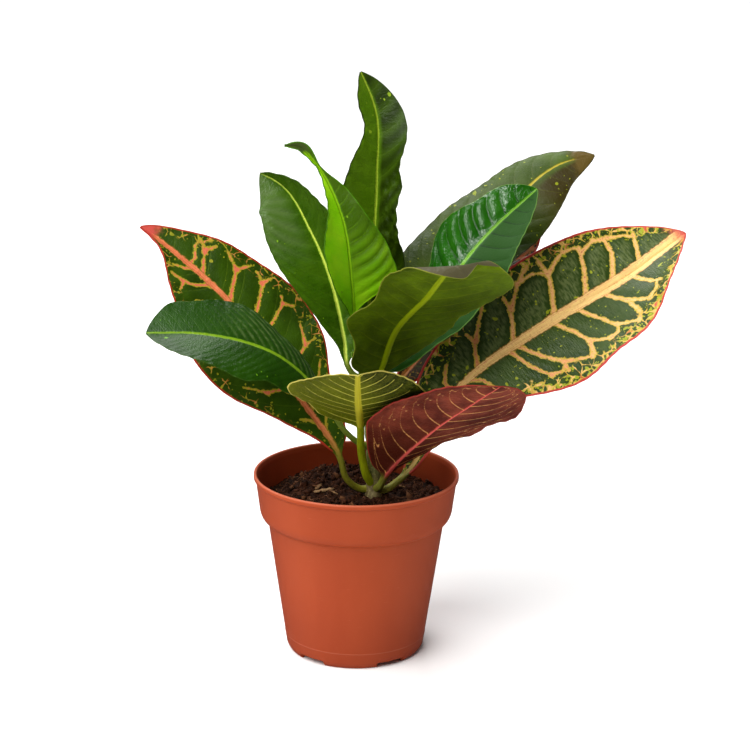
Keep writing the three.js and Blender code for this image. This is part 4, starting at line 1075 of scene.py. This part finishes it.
def pot_profile():
    """Radius and height round the pot's section, outside upwards, over the lip and down inside."""
    p = POT
    wall = p["wall"]
    floor_top = p["channel_z"] + p["floor"]
    corners = (
        (p["hub"], 0, 0.4),
        (p["hub"], p["channel_z"], 0.4),
        (p["foot"] - wall, p["channel_z"], 0.4),
        (p["foot"] - wall, 0, 0.4),
        (p["foot"] + 0.2, 0, 1.2),
        (p["body_foot"], p["body_foot_z"], 1.2),
        (body_outer(SEAM_Z), SEAM_Z - 0.3, 0.1),
        (body_outer(SEAM_Z) + 0.12, SEAM_Z, 0.1),
        (body_outer(SEAM_Z) + 0.02, SEAM_Z + 0.3, 0.1),
        (p["body_top"], p["step_z"] - 1, 0.5),
        (p["body_top"] + 2.6, p["step_z"] + 0.6, 1.4),
        (p["band_foot"], p["band_foot_z"] - 0.8, 2.6),
        (p["band_top"], p["height"] - p["lip_height"] - 0.4, 0.3),
        (p["lip_outer"], p["height"] - p["lip_height"] + 0.2, 0.7),
        (p["lip_outer"] - 0.1, p["height"], 0.9),
        (p["lip_inner"] - 0.1, p["height"], 0.6),
        (p["band_top"] - wall, p["height"] - p["lip_height"], 0.6),
        (p["band_foot"] - wall, p["band_foot_z"], 1.5),
        (body_outer(p["step_z"]) - wall + 0.6, p["step_z"] + 1.2, 1.0),
        (body_outer(floor_top) - wall, floor_top, 0.8),
        (p["hub"] - p["floor"], floor_top, 0.4),
        (p["hub"] - p["floor"], p["floor"], 0.4),
    )
    profile = rounded([c[:2] for c in corners], [c[2] for c in corners])
    inner, outer = drain_radii()
    for level in (p["channel_z"], floor_top):
        flat = np.abs(profile[:, 1] - level) < 1e-6
        gap = np.abs(np.diff(profile[:, 0])) * (flat[:-1] & flat[1:])
        k = int(np.argmax(gap)) + 1
        rows = [(inner, level), (outer, level)]
        if profile[k - 1, 0] > profile[k, 0]:
            rows.reverse()
        profile = np.insert(profile, k, rows, axis=0)
    return profile


def drain_radii():
    """Inner and outer radius of the drain slots."""
    return DRAIN["radius"] - DRAIN["width"] / 2, DRAIN["radius"] + DRAIN["width"] / 2


def drain_walls(inside, low, high, around, along):
    """Walls of the slots between the rows low and high, each (inner, outer), over the angle steps that
    lie inside a slot."""
    faces = []
    for i in np.flatnonzero(inside):
        here = i * along
        ahead = ((i + 1) % around) * along
        faces.append((here + low[0], ahead + low[0], ahead + high[0], here + high[0]))
        faces.append((here + high[1], ahead + high[1], ahead + low[1], here + low[1]))
        if not inside[i - 1]:
            faces.append((here + low[0], here + high[0], here + high[1], here + low[1]))
        if not inside[(i + 1) % around]:
            faces.append((ahead + low[1], ahead + high[1], ahead + high[0], ahead + low[0]))
    return np.array(faces)


def degrees_apart(deg, centres):
    """Angle between each of deg and each of centres, row by column."""
    return np.abs((deg[:, None] - centres + 180) % 360 - 180)


def pot_piece(material):
    """Pot turned about Z from its section. Between the feet the low points are raised towards the notch
    height, so the foot ring is cut away there, and drain slots go through the raised floor."""
    profile = pot_profile()
    half_drain = np.degrees(DRAIN["length"] / 2 / DRAIN["radius"])
    half_notch = NOTCH["width_deg"] / 2
    edge_deg = NOTCH["edge_deg"]
    centres = NOTCH["first_deg"] + 360 / NOTCHES * np.arange(NOTCHES)
    offsets = (-half_notch - edge_deg, -half_notch, half_notch, half_notch + edge_deg)
    stations = np.concatenate([
        np.arange(0, 360, 1.5),
        (centres[:, None] + offsets).ravel() % 360,
        (centres[:, None] + (-half_drain, half_drain)).ravel() % 360,
    ])
    deg = np.unique(np.round(stations, 3))
    away = degrees_apart(deg, centres).min(1)
    cut = 1 - ease(away, half_notch, half_notch + edge_deg)
    angle = np.radians(deg)
    radius = profile[:, 0]
    height = profile[:, 1]
    in_ring = ease(radius, POT["hub"] + 2, POT["hub"] + 4)
    below = NOTCH["height"] - height
    raised = np.where(below > 0, NOTCH["height"] - 0.02 * below, height)
    z = mix(height, raised, cut[:, None] * in_ring)
    ring = np.stack([radius * np.cos(angle)[:, None], radius * np.sin(angle)[:, None], z], -1)
    around, along = len(deg), len(profile)
    i, j = np.meshgrid(np.arange(around), np.arange(along - 1), indexing="ij")
    a = i * along + j
    b = ((i + 1) % around) * along + j
    quads = np.stack([a, b, b + 1, a + 1], -1)
    middle = deg + ((np.roll(deg, -1) - deg) % 360) / 2
    inside = (degrees_apart(middle, centres) < half_drain).any(1)
    inner, outer = drain_radii()
    rows = [
        [int(np.argmin(np.hypot(radius - r, height - level))) for r in (inner, outer)]
        for level in (POT["channel_z"], POT["channel_z"] + POT["floor"])
    ]
    keep = np.ones(quads.shape[:2], bool)
    for pair in rows:
        keep[inside, min(pair)] = False
    walls = drain_walls(inside, rows[0], rows[1], around, along)
    quads = np.concatenate([quads[keep], walls])
    k = np.arange(around)
    after = (k + 1) % around
    low = around * along
    base = np.stack([np.full(around, low), after * along, k * along], -1)
    top = np.stack([np.full(around, low + 1), k * along + along - 1, after * along + along - 1], -1)
    points = np.concatenate([ring.reshape(-1, 3), [[0, 0, 0], [0, 0, POT["floor"]]]])
    past_lip = np.arange(along) > np.argmax(height)
    # Painted shade on the inner wall: it deepens below the lip and is strongest on the +X side.
    depth = ease(POT["height"] - height, 0.8, 7.0) * past_lip
    shaded = mix(0.15, 1.0, 0.5 + 0.5 * np.cos(angle))
    painted_shade = np.concatenate([(shaded[:, None] * depth).ravel(), [0, 1]])
    faces = [quads, np.concatenate([base, top])]
    return make_mesh("pot_shell", points, faces, material, {"painted_shade": painted_shade}, "pot")


def pot_material():
    """Matt moulded plastic with faint flow marks, darker towards the foot, fine scuffs, a painted
    highlight along the lip and painted shade on the inner wall.
    """
    material, w = new_material("pot_plastic")
    place = w.place()
    height = w.height(place)
    cloud = w.noise(w.stretch(place, 1, 1, 0.35), 22, 4, 0.55)
    grain = w.noise(place, 1600, 2, 0.6)
    scuff = w.noise(w.stretch(place, 1, 1, 8), 160, 4, 0.65)
    colour = w.blend(cloud.step(0.3, 0.7), paint(0x9F3F1E), paint(0xA84623))
    colour = w.blend(scuff.step(0.62, 0.8, 0, 0.35), colour, paint(0xCE7052))
    colour = w.blend(grain.step(0.4, 0.8, 0, 0.12), colour, paint(0xAC4A2E))
    seam = w.math("ABSOLUTE", height - SEAM_Z * MM)
    colour = w.blend(seam.step(0.1 * MM, 0.4 * MM, 0.22, 0), colour, paint(0xD68C74))
    colour = w.blend(height.step(0, 45 * MM, 0.45, 0), colour, paint(0x843218))
    top = POT["height"]
    # Painted highlight: a lighter band along the top of the lip.
    lip = height.step((top - 1.1) * MM, (top - 0.3) * MM, 0, 0.45)
    colour = w.blend(lip, colour, paint(0xD67A5C))
    # Painted shade inside the pot, from the mark set in pot_piece, broken up by the cloud noise.
    painted_shade = w.mark("painted_shade") * cloud.step(0.2, 0.8, 0.7, 0.92)
    colour = w.blend(painted_shade, colour, paint(0x501A0A))
    rough = cloud * 0.1 + scuff.step(0.5, 0.85, 0.4, 0.5)
    w.surface(colour, rough, grain * 0.6 + cloud * 0.6, strength=0.12, depth=0.1, gloss=0.16)
    return material


# ---- compost -------------------------------------------------------------------------------------
def soil_height(x, y):
    """Low mound with lumps, as a sum of short waves, and a heap behind the stem."""
    r = np.hypot(x, y)
    lumps = (
        0.5 * np.sin(0.43 * x + 1.3) * np.cos(0.37 * y + 0.4)
        + 0.3 * np.sin(0.91 * x - 0.6 * y + 2.1)
        + 0.2 * np.cos(1.3 * y + 0.5 * x)
    )
    heap = HEAP["height"] * np.exp(-((x - HEAP["x"]) ** 2 + (y - HEAP["y"]) ** 2) / HEAP["spread"])
    return SOIL["top"] - 0.0006 * r * r + SOIL["lump"] * lumps * np.minimum(1, r / 16) + heap


def peat_height(x, y):
    """Soil height with crumbs of three sizes from noise."""
    p = np.stack([x, y, 0 * x], -1)
    rough = soft_noise(p, 4.5, 1) + 0.7 * np.abs(soft_noise(p, 2.2, 2)) + 0.35 * soft_noise(p, 1, 5)
    return soil_height(x, y) + 0.8 * rough


def soil_piece(material):
    """Closed body: a flat base, the wall along the pot and the rough top on polar rings."""
    around, rings = SOIL["around"], SOIL["rings"]
    angle = np.linspace(0, 2 * np.pi, around, endpoint=False)
    edge = band_inner(SOIL["top"]) - SOIL["wall_gap"]
    inner_foot = body_outer(SOIL["base"]) - POT["wall"] - SOIL["wall_gap"]
    wall = (
        (inner_foot - 6, SOIL["base"]),
        (inner_foot - 0.2, SOIL["base"]),
        (body_outer(POT["step_z"] - 1) - POT["wall"] - SOIL["wall_gap"], POT["step_z"] - 1),
        (band_inner(POT["band_foot_z"]) - SOIL["wall_gap"] - 0.2, POT["band_foot_z"] + 0.5),
        (edge, SOIL["top"] - 3.5),
    )
    share = 1 - np.arange(rings) / rings
    radii = np.concatenate([[r for r, _ in wall], edge * share])
    x = radii[:, None] * np.cos(angle)
    y = radii[:, None] * np.sin(angle)
    z = peat_height(x, y)
    z[: len(wall)] = np.array([h for _, h in wall])[:, None]
    rows = np.stack([x, y, z], -1)
    faces = ring_faces(len(radii), around)
    return make_mesh("soil_bed", with_ends(rows), faces, material, None, "soil")


def crumb_shape():
    """Octahedron split once and pushed out to a ball: 18 points and 32 faces."""
    corners = np.array([[1, 0, 0], [0, 1, 0], [-1, 0, 0], [0, -1, 0], [0, 0, 1], [0, 0, -1]], float)
    sides = [(0, 1, 4), (1, 2, 4), (2, 3, 4), (3, 0, 4), (1, 0, 5), (2, 1, 5), (3, 2, 5), (0, 3, 5)]
    points = list(map(tuple, corners))
    faces = []

    def between(a, b):
        spot = tuple(unit(np.array(points[a]) + np.array(points[b])).round(9))
        if spot not in points:
            points.append(spot)
        return points.index(spot)

    for a, b, c in sides:
        ab, bc, ca = between(a, b), between(b, c), between(c, a)
        faces += [(a, ab, ca), (ab, b, bc), (ca, bc, c), (ab, bc, ca)]
    return np.array(points), np.array(faces)


def turns(draw, count):
    """Random turning matrices, from unit quaternions."""
    w, x, y, z = unit(draw.normal(size=(count, 4))).T
    return np.stack([
        np.stack([1 - 2 * (y * y + z * z), 2 * (x * y - z * w), 2 * (x * z + y * w)], -1),
        np.stack([2 * (x * y + z * w), 1 - 2 * (x * x + z * z), 2 * (y * z - x * w)], -1),
        np.stack([2 * (x * z - y * w), 2 * (y * z + x * w), 1 - 2 * (x * x + y * y)], -1),
    ], 1)


def scatter_spots(draw, count, reach):
    """Places on the compost, away from the stem and inside the wall."""
    radius = reach * np.sqrt(draw.uniform(0.0, 1.0, count))
    angle = draw.uniform(0, 2 * np.pi, count)
    x, y = radius * np.cos(angle), radius * np.sin(angle)
    clear = np.hypot(x - STEM_ROOM["x"], y - STEM_ROOM["y"]) > STEM_ROOM["radius"]
    return x[clear], y[clear]


def crumb_piece(material):
    """Loose lumps of peat: many small uneven balls, turned and squashed, half sunk in the surface."""
    draw = np.random.default_rng(CRUMBS["seed"])
    shape, faces = crumb_shape()
    x, y = scatter_spots(draw, CRUMBS["count"], CRUMBS["reach"])
    count = len(x)
    size = CRUMBS["least"] + CRUMBS["spread"] * draw.uniform(0, 1, count) ** 4
    heap = np.hypot(x - HEAP["x"], y - HEAP["y"]) < CRUMB_HEAP["radius"]
    size = np.where(heap, size * CRUMB_HEAP["scale"], size)
    uneven = draw.uniform(0.55, 1.3, (count, len(shape), 1))
    squash = draw.uniform(0.4, 1.2, (count, 1, 3)) * np.array([1.5, 0.8, 0.7])
    local = np.einsum("nij,nkj->nki", turns(draw, count), shape[None] * uneven * squash)
    centre = np.stack([x, y, peat_height(x, y) + 0.25 * size], -1)
    points = centre[:, None] + local * size[:, None, None]
    index = faces[None] + len(shape) * np.arange(count)[:, None, None]
    tone = np.repeat(draw.uniform(0, 1, count), len(shape))
    return make_mesh("peat_crumbs", points, index.reshape(-1, 3), material, {"tone": tone})


def tube_set(paths, radii, around=4):
    """Closed tubes along many paths at once: rings of a few points square to each path."""
    count, steps, _ = paths.shape
    along = unit(np.gradient(paths, axis=1))
    side = unit(np.cross(along, np.array([0.13, 0.21, 0.97])))
    top = np.cross(side, along)
    turn = np.linspace(0, 2 * np.pi, around, endpoint=False)
    offset = side[:, :, None] * np.cos(turn)[:, None] + top[:, :, None] * np.sin(turn)[:, None]
    rings = paths[:, :, None] + offset * radii[:, :, None, None]
    ends = paths[:, [0, -1]]
    points = np.concatenate([rings.reshape(count, -1, 3), ends], axis=1)
    quads, caps = ring_faces(steps, around)
    shift = (steps * around + 2) * np.arange(count)[:, None, None]
    return points, [(quads[None] + shift).reshape(-1, 4), (caps[None] + shift).reshape(-1, 3)]


def fibre_piece(name, seed, count, length, radius, lift, material):
    """Thin bent root fibres that lie on the compost, each a gentle curve that rises and dips."""
    draw = np.random.default_rng(seed)
    x, y = scatter_spots(draw, count, FIBRE_REACH["start"])
    count = len(x)
    steps = 9
    s = np.linspace(-0.5, 0.5, steps)
    heading = draw.uniform(0, 2 * np.pi, count)
    bend = draw.normal(0, 1.6, count)
    size = length * draw.uniform(0.4, 1.2, count)
    wriggle = 0.5 * np.sin(9 * s + heading[:, None])
    turn = heading[:, None] + bend[:, None] * s + wriggle
    step_x = np.cumsum(np.cos(turn), axis=1) / steps
    step_y = np.cumsum(np.sin(turn), axis=1) / steps
    px = x[:, None] + size[:, None] * (step_x - step_x.mean(1, keepdims=True))
    py = y[:, None] + size[:, None] * (step_y - step_y.mean(1, keepdims=True))
    pull = np.minimum(1, FIBRE_REACH["end"] / np.hypot(px, py))
    px, py = px * pull, py * pull
    rise = lift * draw.uniform(-0.2, 1.0, (count, 1)) * (1 - (2 * s) ** 2) + 0.15
    pz = peat_height(px, py) + rise
    paths = np.stack([px, py, pz], -1)
    radii = radius * draw.uniform(0.5, 1.2, (count, 1)) * (1 - 0.75 * np.abs(2 * s) ** 3)
    points, faces = tube_set(paths, radii)
    tone = np.repeat(draw.uniform(0, 1, count), points.shape[1])
    return make_mesh(name, points, faces, material, {"tone": tone})


def chip_piece(material):
    """Splinter of pale bark on the left in front, with loose slivers beside it: flat tapering tubes."""
    x, y, heading_deg, size, breadth, tilt, tone = (np.array(column)[:, None] for column in zip(*CHIPS))
    heading = np.radians(heading_deg)
    s = np.linspace(-0.5, 0.5, 12)
    px = x + size * s * np.cos(heading)
    py = y + size * s * np.sin(heading)
    pz = peat_height(px, py).mean(1, keepdims=True) + 1.3 + 1.8 * s * tilt
    taper = np.clip(1.25 - 3.2 * s**2, 0.2, 1) * (1 + 0.25 * np.sin(17 * s + x))
    points, faces = tube_set(np.stack([px, py, pz], -1), breadth * taper, 8)
    level = pz.mean(1, keepdims=True)
    points[..., 2] = level + CHIP_FLAT * (points[..., 2] - level)
    marks = {"tone": np.repeat(tone.ravel(), points.shape[1])}
    return make_mesh("bark_chips", points, faces, material, marks)


def peat_material(name):
    """Damp peat: dark grains with lighter flecks, paler where the tone mark is high."""
    material, w = new_material(name)
    dark, light, pale = (paint(colour) for colour in PEATS[name][:3])
    dull = PEATS[name][3]
    place = w.place()
    grain = w.noise(place, 900, 4, 0.7)
    lump = w.noise(place, 230, 3, 0.6)
    colour = w.blend(lump.step(0.35, 0.7), dark, light)
    colour = w.blend(grain.step(0.62, 0.78, 0, 0.6), colour, pale)
    colour = w.blend(w.mark("tone").step(0.8, 1, 0, 0.8), colour, pale)
    rough = grain.step(0.3, 0.8, dull - 0.25, dull)
    w.surface(colour, rough, grain + lump, strength=0.6, depth=0.5, gloss=0.05)
    return material


def make_compost():
    soil_piece(peat_material("peat"))
    crumb_piece(peat_material("peat_crumb"))
    fibre = peat_material("root_fibre")
    for kind in FIBRES:
        fibre_piece(*kind, fibre)
    chip_piece(peat_material("bark_chip"))


# ---- stem ----------------------------------------------------------------------------------------
def stem_piece(material):
    """Young woody stem: a tapering tube with even, slight swellings and shallow furrows. Its radius is
    the smooth curve through STEM_RADII times 1 + share sin(2 pi t / every), plus noise."""
    rings, around = STEM_GRID.values()
    knots = chord_knots(STEM_POINTS)
    t = np.linspace(0, knots[-1], rings)
    middle, slope = curve_through(knots, STEM_POINTS, t)
    tangent = unit(slope)
    side = unit(np.cross(np.array([0.0, 1.0, 0.0]), tangent))
    front = np.cross(tangent, side)
    angle = np.linspace(0, 2 * np.pi, around, endpoint=False)
    swell = 1 + STEM_SWELL["share"] * np.sin(2 * np.pi * t / STEM_SWELL["every"])
    radius = curve_through(knots, STEM_RADII, t)[0] * swell[:, None]
    out = side[:, None] * np.cos(angle)[:, None] + front[:, None] * np.sin(angle)[:, None]
    rough = middle[:, None] + out * radius[..., None]
    bark = 0.16 * soft_noise(rough * np.array([1, 1, 0.35]), 1.4, 4) + 0.22 * soft_noise(rough, 4.0, 6)
    points = middle[:, None] + out * (radius + bark * ease(t, 0, 4)[:, None] - 0.1)[..., None]
    faces = ring_faces(rings, around)
    return make_mesh("stem_bark", with_ends(points), faces, material, None, "stem")


def stem_material():
    """Green-brown bark with pale corky dots and darker furrows, greener towards the top."""
    material, w = new_material("stem_bark")
    place = w.place()
    furrow = w.noise(w.stretch(place, 1, 1, 0.3), 900, 3, 0.6)
    patch = w.noise(place, 260, 3, 0.6)
    young = w.blend(furrow.step(0.4, 0.7), paint(0x606E2E), paint(0x78823C))
    old = w.blend(furrow.step(0.35, 0.7), paint(0x584A2A), paint(0x887A4C))
    rise = w.height(place) + patch * (20 * MM)
    colour = w.blend(rise.step(95 * MM, 120 * MM), old, young)
    dots = w.cells(place, 700)
    colour = w.blend(dots.step(0.16, 0.26, 0.6, 0), colour, paint(0xB0A274))
    colour = w.blend(patch.step(0.55, 0.75, 0, 0.5), colour, paint(0x4E3A22))
    w.surface(colour, furrow.step(0.3, 0.8, 0.5, 0.75), furrow + dots * -0.8, strength=0.5, depth=0.4)
    return material


# ---- stage ---------------------------------------------------------------------------------------
def make_floor():
    """Plain pale floor, large enough to fill the view behind the pot."""
    half = FLOOR_SIDE / 2
    mesh = bpy.data.meshes.new("floor")
    corners = [(-half, -half, 0), (half, -half, 0), (half, half, 0), (-half, half, 0)]
    mesh.from_pydata(corners, [], [(0, 1, 2, 3)])
    material, w = new_material("floor")
    shader = w.tree.nodes["Principled BSDF"]
    shader.inputs["Base Color"].default_value = (0.97, 0.97, 0.97, 1)
    shader.inputs["Roughness"].default_value = 0.9
    shader.inputs["Specular IOR Level"].default_value = 0.1
    mesh.materials.append(material)
    floor = new_object("floor", mesh)
    floor.visible_glossy = False


def aim(holder, place, target):
    """Turns holder so that its -Z points from place to target, with Y up."""
    holder.rotation_mode = "QUATERNION"
    holder.rotation_quaternion = (Vector(target) - Vector(place)).to_track_quat("-Z", "Y")


def make_lamps():
    for name, place, target, width, height, power, matt_too in LAMPS:
        lamp = bpy.data.lights.new(name, "AREA")
        lamp.shape = "RECTANGLE"
        lamp.size = width
        lamp.size_y = height
        lamp.energy = power
        holder = new_object(name, lamp)
        holder.location = place
        aim(holder, place, target)
        holder.visible_camera = False
        holder.visible_diffuse = matt_too
    sun = bpy.data.lights.new("key", "SUN")
    sun.energy = SUN["strength"]
    sun.angle = np.radians(SUN["angle_deg"])
    sun.color = SUN["colour"]
    holder = new_object("key", sun)
    aim(holder, SUN["towards"], (0, 0, 0))
    holder.visible_glossy = False
    world = bpy.data.worlds.new("studio")
    world.use_nodes = True
    sky = world.node_tree.nodes["Background"]
    sky.inputs["Color"].default_value = (*SKY["colour"], 1)
    sky.inputs["Strength"].default_value = SKY["strength"]
    bpy.context.scene.world = world


def make_camera():
    """Camera on the photograph's line of sight, a little above the plant."""
    rise = np.radians(VIEW["rise_deg"])
    place = np.array(VIEW["aim"]) + VIEW["distance"] * np.array([0, -np.cos(rise), np.sin(rise)])
    data = bpy.data.cameras.new("camera")
    data.lens = VIEW["lens"]
    data.sensor_width = 36.0
    data.clip_start = 0.05
    data.clip_end = 50.0
    camera = new_object("camera", data)
    roll = Matrix.Rotation(np.radians(VIEW["roll_deg"]), 4, "Z")
    camera.matrix_world = Matrix.Translation(place) @ Matrix.Rotation(np.pi / 2 - rise, 4, "X") @ roll
    bpy.context.scene.camera = camera


bpy.context.scene.view_settings.view_transform = "Standard"
make_camera()
make_lamps()
make_floor()
pot_piece(pot_material())
make_compost()
stem_piece(stem_material())
make_leaves()

bpy.context.view_layer.update()
